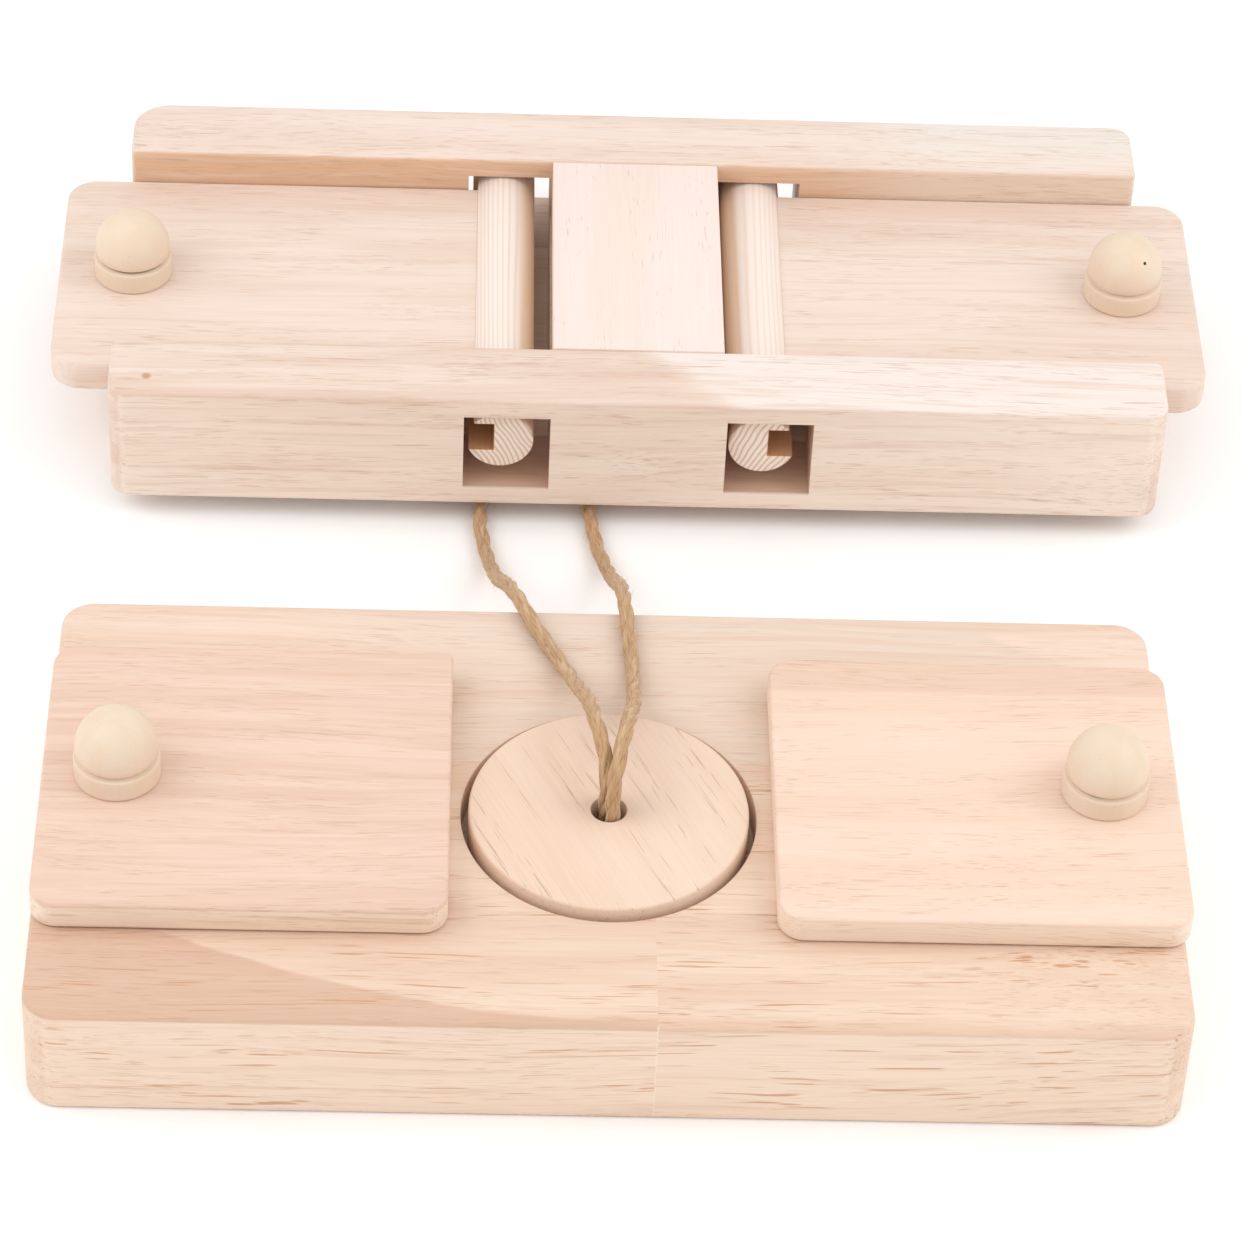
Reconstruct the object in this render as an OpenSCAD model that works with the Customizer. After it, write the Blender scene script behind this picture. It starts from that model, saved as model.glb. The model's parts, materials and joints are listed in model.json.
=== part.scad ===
// Treat puzzle for small pets: two loose hardwood boards and a jute lifting loop.
// The front board has two slide lids and a round plug, each over a treat well.
// The rear board has two flip lids that turn on dowels in windows through its rails.
// The set stands on z = 0. X runs along the boards and Y from the front board to the rear one.

/* [Front board] */
// Length of the front board
base_w = 300; // [270:1:380]
// Depth of the front board, front to back
base_d = 158; // [140:1:200]
// Thickness of the front board
base_t = 34; // [30:1:46]
// Corner radius of the front board, seen from above
base_corner_r = 9; // [3:1:16]
// Distance of the stave joint on the front face from the board's middle
stave_joint_x = 12; // [-20:1:20]
// Distance of the joint between front and rear staves from the board's middle
stave_joint_y = 18; // [0:1:22]

/* [Plug] */
// Diameter of the plug
plug_dia = 74.5; // [64:0.5:90]
// Height of the plug
plug_t = 12.5; // [9:0.5:16]
// Depth of the pocket that the plug sits in
plug_pocket_depth = 10; // [6:0.5:12]
// Gap round the plug in its pocket
plug_gap = 2; // [0.5:0.1:3]
// Diameter of the treat well under the plug
plug_well_dia = 58; // [40:1:60]
// Distance of the plug behind the board's middle
plug_y = -2; // [-6:0.5:6]

/* [Slide lids] */
// Gap between a slide lid and the plug
slide_lid_gap = 4.75; // [3:0.25:8]
// Depth of a slide lid, front to back
slide_lid_d = 99; // [92:1:120]
// Thickness of a slide lid
slide_lid_t = 8.5; // [6:0.5:12]
// Corner radius of a slide lid
slide_lid_corner_r = 7; // [2:1:12]
// Radius of the one sharp corner of the left slide lid
sharp_corner_r = 2; // [1:0.5:6]
// Distance of the slide lids behind the board's middle
slide_lid_y = 2; // [-4:0.5:4]
// How far the right slide lid stands past the board's end at rest
right_lid_out = 1.5; // [0:0.5:3]
// How far a slide lid travels
slide_travel = 54; // [30:1:56]
// Distance of a slide lid's knob from the lid's outer end
slide_knob_inset = 20; // [15:1:30]

/* [Runners] */
// Distance of each runner slot from the lid's middle
runner_y = 38; // [36:1:42]
// Length of a runner
runner_len = 30; // [20:1:34]
// Width of the slot in the board's top
slot_w = 7; // [5:0.5:9]
// Width of the channel under the slot
channel_w = 14; // [12:1:18]
// Depth of the channel in the board's underside
channel_depth = 24; // [18:1:26]
// Thickness of the runner's foot
runner_foot_t = 5; // [3:0.5:8]
// Gap between a runner and its slot
runner_clear = 0.4; // [0.3:0.1:1]

/* [Rear board] */
// Length of the rails
rail_w = 306; // [280:1:380]
// Depth of the rear board over both rails
flip_d = 140; // [130:1:180]
// Width of a rail
rail_t = 25; // [22:1:30]
// Height of a rail
rail_h = 39; // [36:1:48]
// Gap under the rails
rail_lift = 7; // [6:0.5:12]
// Corner radius of a rail's outer corners
rail_corner_r = 6; // [2:1:10]
// Radius of the rear rail's left corner
rail_big_corner_r = 11; // [2:1:12]
// How far each end of the floor board lies behind the rails' ends
floor_end_inset = 3; // [0:0.5:10]
// Thickness of the floor board
floor_t = 25.6; // [24:0.1:30]

/* [Flip lids] */
// Distance of each window from the rear board's middle
window_x = 38; // [36:1:48]
// Gap on each side of a pivot dowel that is centred in its window
window_side_gap = 2.75; // [2.25:0.25:4]
// Gap between a pivot dowel and the top of its window
window_top_gap = 0.65; // [0.3:0.05:1]
// Gap between a pivot dowel and the sill of its window
window_sill_gap = 6.35; // [3:0.05:7]
// Diameter of a pivot dowel
dowel_dia = 19.5; // [17:0.5:21]
// How far a dowel's end lies behind the rail's face
dowel_recess = 2.5; // [0.5:0.5:6]
// Depth of the notch that holds the lid
notch_depth = 8; // [5:0.5:9]
// Height of the lid's middle above the dowel's axis
lid_above_axis = 1.2; // [0:0.1:1.5]
// How far a flip lid reaches past the rails' ends when its dowel is centred in the window
flip_lid_overhang = 16.75; // [8:0.25:24]
// Thickness of a flip lid
flip_lid_t = 9.6; // [8:0.1:11]
// Corner radius of a flip lid's outer corners
flip_lid_corner_r = 9; // [2:1:14]
// Gap between a flip lid and each rail
lid_side_gap = 0.5; // [0.3:0.1:2]
// How far both lids and dowels lie to the left in their windows
lid_shift = 2; // [0:0.1:2]
// Distance of a flip lid's knob from the lid's outer end
flip_knob_inset = 22; // [15:1:30]
// Gap between the centre plate and the nearer pivot dowel
plate_gap = 1.25; // [0.5:0.25:4]
// Thickness of the centre plate
plate_t = 6; // [3:0.5:8]

/* [Wells] */
// Diameter of the treat wells under the lids
well_dia = 56; // [40:1:58]
// Distance of each of the front board's wells from its lid's inner end
slide_well_inset = 46; // [36:1:56]
// Depth of the front board's wells
slide_well_depth = 22; // [12:1:26]
// Distance of each of the rear board's wells from the window beside it
flip_well_inset = 62; // [54:1:68]
// Depth of the rear board's wells
flip_well_depth = 18; // [10:1:20]

/* [Knobs] */
// Diameter of a knob's collar
knob_collar_dia = 23; // [18:0.5:28]
// Height of a knob's collar
knob_collar_h = 8; // [5:0.5:10]
// Diameter of a knob's dome
knob_dome_dia = 22; // [16:0.5:27]
// Depth of the groove between collar and dome
knob_groove_depth = 1.6; // [0.5:0.1:3]
// Height of the groove
knob_groove_h = 1.8; // [1:0.1:3]

/* [Fasteners] */
// Shank diameter of the screws
screw_dia = 3.5; // [3:0.1:4.5]
// Head diameter of the screws
screw_head_dia = 7; // [6:0.5:9]
// Diameter of the dowel pins in the rails
pin_dia = 8; // [6:0.5:10]
// Length of the dowel pins in the rails
pin_len = 30; // [20:1:36]

/* [Rope] */
// Diameter of the rope
rope_dia = 4.4; // [3.4:0.1:4.8]
// Bore of the plug for both strands
rope_bore_dia = 9.6; // [9:0.1:12]
// Diameter of the knot under the plug
knot_dia = 15; // [12:0.5:20]
// Height of the knot
knot_h = 11; // [8:0.5:12]

/* [Placement] */
// Gap between the two boards
boards_gap = 76; // [72:1:80]
// How far the front board lies to the left of the rear board
boards_shift = 10; // [0:1:12]

/* [Hidden] */
$fn = 64;

eps = 1;               // how far a cutter runs past the face that it cuts
seat_gap = 0.2;        // gap under a lid that only rests on its board
hole_clear = 0.1;      // gap round a pin or a screw in its hole
depth_clear = 0.5;     // gap at the end of a pin or a screw in its hole

// Places of the two boards: the set's own box is centred on X = 0 and Y = 0
set_d = base_d + boards_gap + flip_d;
flip_x = lid_shift;
flip_y = set_d / 2 - flip_d / 2;
base_x = flip_x - boards_shift;
base_y = -set_d / 2 + base_d / 2;

// Heights of the front board
plug_z = base_t - plug_pocket_depth;
plug_pocket_dia = plug_dia + 2 * plug_gap;
plug_well_floor = 10;  // wood left under the plug's well
slide_lid_w = base_w / 2 - plug_dia / 2 - slide_lid_gap;
slide_well_x = base_w / 2 - slide_lid_w + slide_well_inset;
slide_lid_z = base_t + seat_gap;
runner_foot_z = channel_depth - runner_foot_t - runner_clear;
runner_stem_w = slot_w - 2 * runner_clear;
runner_foot_w = channel_w - 2 * runner_clear;
slot_end_gap = 2;      // between a runner and its slot's end
runner_screw_grip = 6; // how far a runner's screws reach past its foot
runner_inset = 13;     // from the lid's inner end to the runner

// Heights of the rear board
rail_z = rail_lift;
flip_lid_z = floor_t + seat_gap;
dowel_z = flip_lid_z + flip_lid_t / 2 - lid_above_axis;
sill_z = dowel_z - dowel_dia / 2 - window_sill_gap;
window_h = window_sill_gap + dowel_dia + window_top_gap;
window_w = dowel_dia + 2 * window_side_gap;
plate_w = 2 * (window_x - lid_shift - dowel_dia / 2 - plate_gap);
plate_z = rail_z + rail_h - plate_t;
bay_d = flip_d - 2 * rail_t;
pin_height = 9;        // of the pins above the rails' underside
pin_z = rail_z + pin_height;
end_pin_inset = 10;    // from the floor board's end to the last pin
inner_pin_gap = 7.5;   // wood between a window and the pin beside it
floor_w = rail_w - 2 * floor_end_inset;
flip_well_x = window_x + flip_well_inset;
end_pin_x = floor_w / 2 - end_pin_inset;
inner_pin_x = window_x + window_w / 2 + inner_pin_gap + pin_dia / 2;
pin_places = [-end_pin_x, -inner_pin_x, 0, inner_pin_x, end_pin_x];
notch_bottom_x = window_x + dowel_dia / 2 - notch_depth;
flip_lid_w = rail_w / 2 + flip_lid_overhang - notch_bottom_x;
rail_inner_r = 2;      // corner radius of the rails' inner corners
flip_lid_inner_r = 1;  // corner radius of a flip lid's end in its notch

// Screws
screw_head_h = 3;
screw_recess_w = 0.9;  // width of the cross in a screw's head
screw_recess_depth = 1.2;
screw_recess_len = 0.55 * screw_head_dia;
knob_screw_grip = 11;
runner_screw_spacing = 16;
block_screw_y = 26;
block_screw_grip = 9;
countersink_sink = 0.5; // how far a screw's head lies behind its face
knob_edge = 0.5;       // step from a knob's collar to its groove

function knob_dome_z() = knob_collar_h + knob_groove_h;

// ---------- shared shapes ----------

// Rectangle with one radius for each corner: [front left, front right, rear right, rear left]
module corner_plan(w, d, radii) {
    signs = [[-1, -1], [1, -1], [1, 1], [-1, 1]];
    difference() {
        square([w, d], center = true);
        for (i = [0:3]) {
            translate([signs[i][0] * w / 2, signs[i][1] * d / 2])
                square(2 * radii[i], center = true);
        }
    }
    for (i = [0:3]) {
        translate([signs[i][0] * (w / 2 - radii[i]), signs[i][1] * (d / 2 - radii[i])])
            circle(radii[i]);
    }
}

// Board with rounded corners, its underside at z = 0
module board(w, d, t, radii) {
    linear_extrude(t) corner_plan(w, d, radii);
}

// Screw that stands on its head: the head's face at z = 0 and the tip at z = length
module screw(length) {
    difference() {
        union() {
            cylinder(h = screw_head_h, r1 = screw_head_dia / 2, r2 = screw_dia / 2);
            translate([0, 0, screw_head_h]) cylinder(h = length - screw_head_h, d = screw_dia);
        }
        for (a = [0, 90]) {
            rotate(a)
                cube([screw_recess_len, screw_recess_w, 2 * screw_recess_depth], center = true);
        }
    }
}

// Hole for such a screw, with a countersink that opens at z = 0
module screw_hole(length) {
    head_r = screw_head_dia / 2 + hole_clear;
    shank_r = screw_dia / 2 + hole_clear;
    translate([0, 0, -eps]) cylinder(h = eps + countersink_sink, r = head_r);
    translate([0, 0, countersink_sink]) cylinder(h = screw_head_h, r1 = head_r, r2 = shank_r);
    translate([0, 0, countersink_sink]) cylinder(h = length + depth_clear, r = shank_r);
}

// Turned knob: collar, V-shaped groove and dome, with a pilot bore from below
module knob() {
    collar_r = knob_collar_dia / 2;
    dome_r = knob_dome_dia / 2;
    groove_r = dome_r - knob_groove_depth;
    difference() {
        union() {
            cylinder(h = knob_collar_h, r = collar_r);
            translate([0, 0, knob_collar_h])
                cylinder(h = knob_groove_h / 2, r1 = collar_r - knob_edge, r2 = groove_r);
            translate([0, 0, knob_collar_h + knob_groove_h / 2])
                cylinder(h = knob_groove_h / 2, r1 = groove_r, r2 = dome_r);
            intersection() {
                translate([0, 0, knob_dome_z()]) sphere(dome_r);
                translate([0, 0, knob_dome_z()]) cylinder(h = 2 * dome_r, r = dome_r + eps);
            }
        }
        translate([0, 0, -eps])
            cylinder(h = eps + knob_screw_grip + depth_clear, d = screw_dia + 2 * hole_clear);
    }
}

// ---------- front board ----------

// Middle of a slide lid along X: side is -1 for the left lid and 1 for the right one
function slide_lid_x(side) =
    base_x + side * (base_w / 2 - slide_lid_w / 2) + (side > 0 ? right_lid_out : 0);
function slide_knob_x(side) = slide_lid_x(side) + side * (slide_lid_w / 2 - slide_knob_inset);
// Middle of a runner, and of the slot that it travels in
function runner_x(side) = slide_lid_x(side) - side * (slide_lid_w / 2 - runner_inset - runner_len / 2);
function slot_x(side) = runner_x(side) + side * slide_travel / 2;
slot_len = runner_len + slide_travel + 2 * slot_end_gap;

module base_blank() {
    translate([base_x, base_y, 0]) board(base_w, base_d, base_t, base_corner_r * [1, 1, 1, 1]);
}

module base_hollows() {
    translate([base_x, base_y + plug_y, plug_z])
        cylinder(h = base_t, d = plug_pocket_dia);
    translate([base_x, base_y + plug_y, plug_well_floor])
        cylinder(h = base_t, d = plug_well_dia);
    for (side = [-1, 1]) {
        translate([base_x + side * slide_well_x, base_y + slide_lid_y, base_t - slide_well_depth])
            cylinder(h = base_t, d = well_dia);
        for (row = [-1, 1]) {
            translate([slot_x(side), base_y + slide_lid_y + row * runner_y, base_t / 2])
                cube([slot_len, slot_w, base_t + 2 * eps], center = true);
            translate([slot_x(side), base_y + slide_lid_y + row * runner_y, channel_depth / 2 - eps / 2])
                cube([slot_len, channel_w, channel_depth + eps], center = true);
        }
    }
}

// One stave of the glued-up board: what lies in the given range of X and Y from the board's middle
module base_stave(x_from, x_to, y_from, y_to) {
    difference() {
        intersection() {
            base_blank();
            translate([base_x + x_from, base_y + y_from, -eps])
                cube([x_to - x_from, y_to - y_from, base_t + 2 * eps]);
        }
        base_hollows();
    }
}

module base_front_left_stave() {
    color([0.90, 0.79, 0.66]) base_stave(-base_w, stave_joint_x, -base_d, stave_joint_y);
}

module base_front_right_stave() {
    color([0.89, 0.77, 0.65]) base_stave(stave_joint_x, base_w, -base_d, stave_joint_y);
}

module base_rear_stave() {
    color([0.91, 0.80, 0.68]) base_stave(-base_w, base_w, stave_joint_y, base_d);
}

module plug() {
    color([0.88, 0.77, 0.66])
        translate([base_x, base_y + plug_y, plug_z])
            difference() {
                cylinder(h = plug_t, d = plug_dia);
                translate([0, 0, -eps]) cylinder(h = plug_t + 2 * eps, d = rope_bore_dia);
            }
}

module slide_lid(side, radii) {
    difference() {
        translate([slide_lid_x(side), base_y + slide_lid_y, slide_lid_z])
            board(slide_lid_w, slide_lid_d, slide_lid_t, radii);
        translate([slide_knob_x(side), base_y + slide_lid_y, slide_lid_z])
            screw_hole(slide_lid_t);
    }
}

module left_slide_lid() {
    r = slide_lid_corner_r;
    color([0.91, 0.76, 0.66]) slide_lid(-1, [r, r, sharp_corner_r, r]);
}

module right_slide_lid() {
    color([0.91, 0.80, 0.66]) slide_lid(1, slide_lid_corner_r * [1, 1, 1, 1]);
}

// Runner strips: a stem in the slot, glued to the lid, and a wider foot in the channel
module lid_runners(side) {
    stem_z = runner_foot_z + runner_foot_t;
    for (row = [-1, 1]) {
        translate([runner_x(side), base_y + slide_lid_y + row * runner_y, 0])
            difference() {
                union() {
                    translate([-runner_len / 2, -runner_foot_w / 2, runner_foot_z])
                        cube([runner_len, runner_foot_w, runner_foot_t]);
                    translate([-runner_len / 2, -runner_stem_w / 2, stem_z])
                        cube([runner_len, runner_stem_w, slide_lid_z - stem_z]);
                }
                for (end = [-1, 1]) {
                    translate([end * runner_screw_spacing / 2, 0, runner_foot_z])
                        screw_hole(runner_foot_t + runner_screw_grip);
                }
            }
    }
}

module runner_screws(side) {
    for (row = [-1, 1], end = [-1, 1]) {
        translate([
            runner_x(side) + end * runner_screw_spacing / 2,
            base_y + slide_lid_y + row * runner_y,
            runner_foot_z + countersink_sink
        ]) screw(runner_foot_t + runner_screw_grip);
    }
}

module slide_knob(side) {
    translate([slide_knob_x(side), base_y + slide_lid_y, slide_lid_z + slide_lid_t]) knob();
}

module slide_knob_screw(side) {
    translate([slide_knob_x(side), base_y + slide_lid_y, slide_lid_z + countersink_sink])
        screw(slide_lid_t - countersink_sink + knob_screw_grip);
}

module left_lid_runners() { color([0.86, 0.74, 0.58]) lid_runners(-1); }
module right_lid_runners() { color([0.86, 0.74, 0.58]) lid_runners(1); }
module left_runner_screws() { color([0.75, 0.75, 0.77]) runner_screws(-1); }
module right_runner_screws() { color([0.75, 0.75, 0.77]) runner_screws(1); }
module left_slide_knob() { color([0.92, 0.83, 0.66]) slide_knob(-1); }
module right_slide_knob() { color([0.92, 0.83, 0.66]) slide_knob(1); }
module left_slide_knob_screw() { color([0.75, 0.75, 0.77]) slide_knob_screw(-1); }
module right_slide_knob_screw() { color([0.75, 0.75, 0.77]) slide_knob_screw(1); }

// ---------- rope ----------

// Route of the rope's axis: up through the plug, back over the board, round the bight that
// lies under the rear board's front rail, and home again beside the first strand.
// The plug's bore stands at rope_home in the route's own frame.
rope_home = [-8, -110, 0];
rope_route = [
    [-8.9, -107.9, 24], [-8.9, -107.9, 35.5], [-8.9, -107.9, 46], [-10, -103, 52.6],
    [-12.2, -94, 54.2], [-13.8, -82.5, 50.2], [-15.6, -71.5, 43.6], [-18.4, -60, 38.4],
    [-22.8, -48.5, 36.4], [-28, -37.5, 36.4], [-31.8, -28, 36.4], [-34.6, -18.5, 33],
    [-36.2, -9, 26.4], [-37.2, 1, 18.2], [-38.3, 11, 10.8], [-39.8, 22, 5],
    [-41.8, 33.5, 2.4], [-43.2, 46, 2.3], [-41.6, 57.8, 2.3], [-33, 66, 2.3],
    [-21, 66, 2.3], [-12.6, 57.8, 2.3], [-10.8, 46, 2.3], [-8.8, 33.5, 2.4],
    [-6.4, 22, 5], [-5, 11, 10.8], [-4.2, 1, 18.2], [-3.9, -9, 26.4],
    [-3.4, -18.5, 33], [-2.8, -28, 36.4], [-1.9, -40, 36.4], [-1.1, -52, 36.4],
    [-0.9, -64, 38.2], [-1.2, -75.5, 43.2], [-2.2, -86.5, 49.8], [-4, -98, 54.2],
    [-5.8, -107.4, 52.6], [-7.1, -112.1, 46], [-7.1, -112.1, 35.5], [-7.1, -112.1, 24]
];

// Half outline of the knot, as shares of its radius and its height
knot_outline = [[0, 0], [0.55, 0], [0.9, 0.2], [1, 0.5], [0.92, 0.82], [0.7, 1], [0, 1]];

function unit(v) = v / norm(v);
function rope_heading(i) =
    unit(rope_route[min(i + 1, len(rope_route) - 1)] - rope_route[max(i - 1, 0)]);
// Side direction carried along the route, so that the rings don't twist
function carried_side(i) =
    i == 0 ? [1, 0, 0]
    : let (h = rope_heading(i), s = carried_side(i - 1)) unit(s - (s * h) * h);
rope_sides = 8;
rope_rings = [
    for (i = [0:len(rope_route) - 1])
        let (h = rope_heading(i), s = carried_side(i), u = cross(h, s))
            [for (k = [0:rope_sides - 1])
                rope_route[i]
                + rope_dia / 2 * (cos(360 * k / rope_sides) * s + sin(360 * k / rope_sides) * u)]
];

module rope_loop() {
    rings = len(rope_rings);
    points = [for (ring = rope_rings, p = ring) p];
    sides = [
        for (i = [0:rings - 2], k = [0:rope_sides - 1])
            let (n = (k + 1) % rope_sides)
                [i * rope_sides + k, (i + 1) * rope_sides + k,
                 (i + 1) * rope_sides + n, i * rope_sides + n]
    ];
    first_cap = [for (k = [0:rope_sides - 1]) k];
    last_cap = [for (k = [rope_sides - 1:-1:0]) (rings - 1) * rope_sides + k];
    color([0.78, 0.60, 0.38])
        translate([base_x, base_y + plug_y, 0] - rope_home)
            polyhedron(points = points, faces = concat(sides, [first_cap], [last_cap]));
}

module rope_knot() {
    color([0.74, 0.56, 0.34])
        translate([base_x, base_y + plug_y, plug_z - knot_h])
            rotate_extrude()
                polygon([for (p = knot_outline) [p[0] * knot_dia / 2, p[1] * knot_h]]);
}

// ---------- rear board ----------

// Middle of a pivot dowel along X: side is -1 for the left one and 1 for the right one
function dowel_x(side) = flip_x + side * window_x - lid_shift;
// Inner end of a flip lid, at the bottom of the notch
function notch_x(side) = flip_x + side * notch_bottom_x - lid_shift;
function flip_knob_x(side) = notch_x(side) + side * (flip_lid_w - flip_knob_inset);

// Pins along Y: seam is the Y of the joint between rail and floor board
module rail_pins(seam, r, length) {
    for (x = pin_places) {
        translate([flip_x + x, seam, pin_z])
            rotate([90, 0, 0]) cylinder(h = length, r = r, center = true);
    }
}

module rail(side, radii) {
    rail_y = flip_y + side * (flip_d - rail_t) / 2;
    difference() {
        translate([flip_x, rail_y, rail_z]) board(rail_w, rail_t, rail_h, radii);
        for (window = [-1, 1]) {
            translate([flip_x + window * window_x, rail_y, sill_z + window_h / 2])
                cube([window_w, rail_t + 2 * eps, window_h], center = true);
        }
        rail_pins(flip_y + side * bay_d / 2, pin_dia / 2 + hole_clear, pin_len + 2 * depth_clear);
    }
}

module front_rail() {
    r = rail_corner_r;
    color([0.90, 0.78, 0.66]) rail(-1, [r, r, rail_inner_r, rail_inner_r]);
}

module rear_rail() {
    r = rail_corner_r;
    color([0.90, 0.77, 0.65]) rail(1, [rail_inner_r, rail_inner_r, r, rail_big_corner_r]);
}

module floor_board() {
    color([0.88, 0.77, 0.63])
        difference() {
            translate([flip_x - floor_w / 2, flip_y - bay_d / 2, 0])
                cube([floor_w, bay_d, floor_t]);
            for (side = [-1, 1]) {
                translate([flip_x + side * window_x - window_w / 2, flip_y - flip_d / 2, sill_z])
                    cube([window_w, flip_d, floor_t]);
                translate([flip_x + side * flip_well_x, flip_y, floor_t - flip_well_depth])
                    cylinder(h = floor_t, d = well_dia);
                rail_pins(flip_y + side * bay_d / 2, pin_dia / 2 + hole_clear, pin_len + 2 * depth_clear);
                translate([flip_x, flip_y + side * block_screw_y, 0]) screw_hole(floor_t);
            }
        }
}

module front_rail_pins() {
    color([0.86, 0.76, 0.60]) rail_pins(flip_y - bay_d / 2, pin_dia / 2, pin_len);
}

module rear_rail_pins() {
    color([0.86, 0.76, 0.60]) rail_pins(flip_y + bay_d / 2, pin_dia / 2, pin_len);
}

module centre_block() {
    color([0.87, 0.76, 0.62])
        difference() {
            translate([flip_x - plate_w / 2, flip_y - bay_d / 2, floor_t])
                cube([plate_w, bay_d, plate_z - floor_t]);
            for (side = [-1, 1]) {
                translate([flip_x, flip_y + side * block_screw_y, floor_t - eps])
                    cylinder(h = eps + block_screw_grip + depth_clear, r = screw_dia / 2 + hole_clear);
            }
        }
}

module centre_block_screws() {
    color([0.75, 0.75, 0.77])
        for (side = [-1, 1]) {
            translate([flip_x, flip_y + side * block_screw_y, countersink_sink])
                screw(floor_t - countersink_sink + block_screw_grip);
        }
}

module centre_plate() {
    color([0.93, 0.85, 0.72])
        translate([flip_x - plate_w / 2, flip_y - bay_d / 2, plate_z])
            cube([plate_w, bay_d, plate_t]);
}

module flip_lid(side) {
    r = flip_lid_corner_r;
    inner = flip_lid_inner_r;
    lid_d = bay_d - 2 * lid_side_gap;
    difference() {
        translate([notch_x(side) + side * flip_lid_w / 2, flip_y, flip_lid_z])
            board(flip_lid_w, lid_d, flip_lid_t, side < 0 ? [r, inner, inner, r] : [inner, r, r, inner]);
        translate([flip_knob_x(side), flip_y, flip_lid_z]) screw_hole(flip_lid_t);
    }
}

module pivot_dowel(side) {
    dowel_len = flip_d - 2 * dowel_recess;
    outside = dowel_x(side) + side * dowel_dia;
    difference() {
        translate([dowel_x(side), flip_y, dowel_z])
            rotate([90, 0, 0]) cylinder(h = dowel_len, d = dowel_dia, center = true);
        translate([(notch_x(side) + outside) / 2, flip_y, flip_lid_z + flip_lid_t / 2])
            cube([abs(outside - notch_x(side)), flip_d, flip_lid_t], center = true);
    }
}

module flip_knob(side) {
    translate([flip_knob_x(side), flip_y, flip_lid_z + flip_lid_t]) knob();
}

module flip_knob_screw(side) {
    translate([flip_knob_x(side), flip_y, flip_lid_z + countersink_sink])
        screw(flip_lid_t - countersink_sink + knob_screw_grip);
}

module left_flip_lid() { color([0.92, 0.81, 0.68]) flip_lid(-1); }
module right_flip_lid() { color([0.91, 0.79, 0.67]) flip_lid(1); }
module left_pivot_dowel() { color([0.91, 0.80, 0.62]) pivot_dowel(-1); }
module right_pivot_dowel() { color([0.91, 0.80, 0.62]) pivot_dowel(1); }
module left_flip_knob() { color([0.92, 0.83, 0.66]) flip_knob(-1); }
module right_flip_knob() { color([0.92, 0.83, 0.66]) flip_knob(1); }
module left_flip_knob_screw() { color([0.75, 0.75, 0.77]) flip_knob_screw(-1); }
module right_flip_knob_screw() { color([0.75, 0.75, 0.77]) flip_knob_screw(1); }

// ---------- assembly ----------

base_front_left_stave();
base_front_right_stave();
base_rear_stave();
plug();
rope_loop();
rope_knot();
left_slide_lid();
right_slide_lid();
left_lid_runners();
right_lid_runners();
left_runner_screws();
right_runner_screws();
left_slide_knob();
right_slide_knob();
left_slide_knob_screw();
right_slide_knob_screw();
floor_board();
front_rail();
rear_rail();
front_rail_pins();
rear_rail_pins();
centre_block();
centre_block_screws();
centre_plate();
left_flip_lid();
right_flip_lid();
left_pivot_dowel();
right_pivot_dowel();
left_flip_knob();
right_flip_knob();
left_flip_knob_screw();
right_flip_knob_screw();
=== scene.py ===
"""Looks of a treat puzzle for small pets: two rubberwood boards and a jute lifting loop.

The front board carries two slide lids and a round plug. The rear board carries two flip lids on
notched pivot dowels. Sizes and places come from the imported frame, in metres, with Z up.
"""
import json
import logging
import math
import random
from dataclasses import dataclass, field
from enum import Enum
from typing import Callable, Iterable, Optional, Sequence

import bpy
from mathutils import Matrix, Vector


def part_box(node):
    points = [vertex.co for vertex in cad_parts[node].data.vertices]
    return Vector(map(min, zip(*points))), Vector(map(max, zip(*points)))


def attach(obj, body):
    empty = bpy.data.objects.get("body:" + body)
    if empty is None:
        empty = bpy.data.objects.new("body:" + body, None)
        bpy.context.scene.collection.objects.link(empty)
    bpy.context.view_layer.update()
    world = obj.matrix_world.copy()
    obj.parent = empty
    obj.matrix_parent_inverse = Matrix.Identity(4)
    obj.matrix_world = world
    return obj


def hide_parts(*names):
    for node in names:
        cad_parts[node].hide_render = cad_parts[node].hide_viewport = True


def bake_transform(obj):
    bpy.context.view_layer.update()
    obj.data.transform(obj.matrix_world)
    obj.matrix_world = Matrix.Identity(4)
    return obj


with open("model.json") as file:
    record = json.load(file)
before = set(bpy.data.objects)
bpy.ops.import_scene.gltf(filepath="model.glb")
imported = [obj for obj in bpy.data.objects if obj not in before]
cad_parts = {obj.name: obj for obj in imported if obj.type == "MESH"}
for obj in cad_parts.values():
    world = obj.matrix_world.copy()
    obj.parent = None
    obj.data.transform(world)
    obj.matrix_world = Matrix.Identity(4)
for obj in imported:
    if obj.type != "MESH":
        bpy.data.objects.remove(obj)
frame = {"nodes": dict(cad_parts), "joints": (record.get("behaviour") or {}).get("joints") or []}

LOG = logging.getLogger("treat_puzzle")
MM = 0.001
Colour = tuple[float, float, float]
Piece = bpy.types.Object
Socket = bpy.types.NodeSocket
Material = bpy.types.Material
OPEN = 1000.0  # stands for no limit on that side, in millimetres


# ---------------------------------------------------------------- modelling helpers


@dataclass(frozen=True)
class Space:
    """An upright box between two corners, in metres."""

    low: Vector
    high: Vector

    @classmethod
    def of_node(cls, node: str) -> "Space":
        """The space that a CAD node takes at rest."""
        low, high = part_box(node)
        return cls(low, high)

    @property
    def size(self) -> Vector:
        """Length along each axis."""
        return self.high - self.low

    @property
    def centre(self) -> Vector:
        """The middle of the box."""
        return (self.low + self.high) / 2


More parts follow.
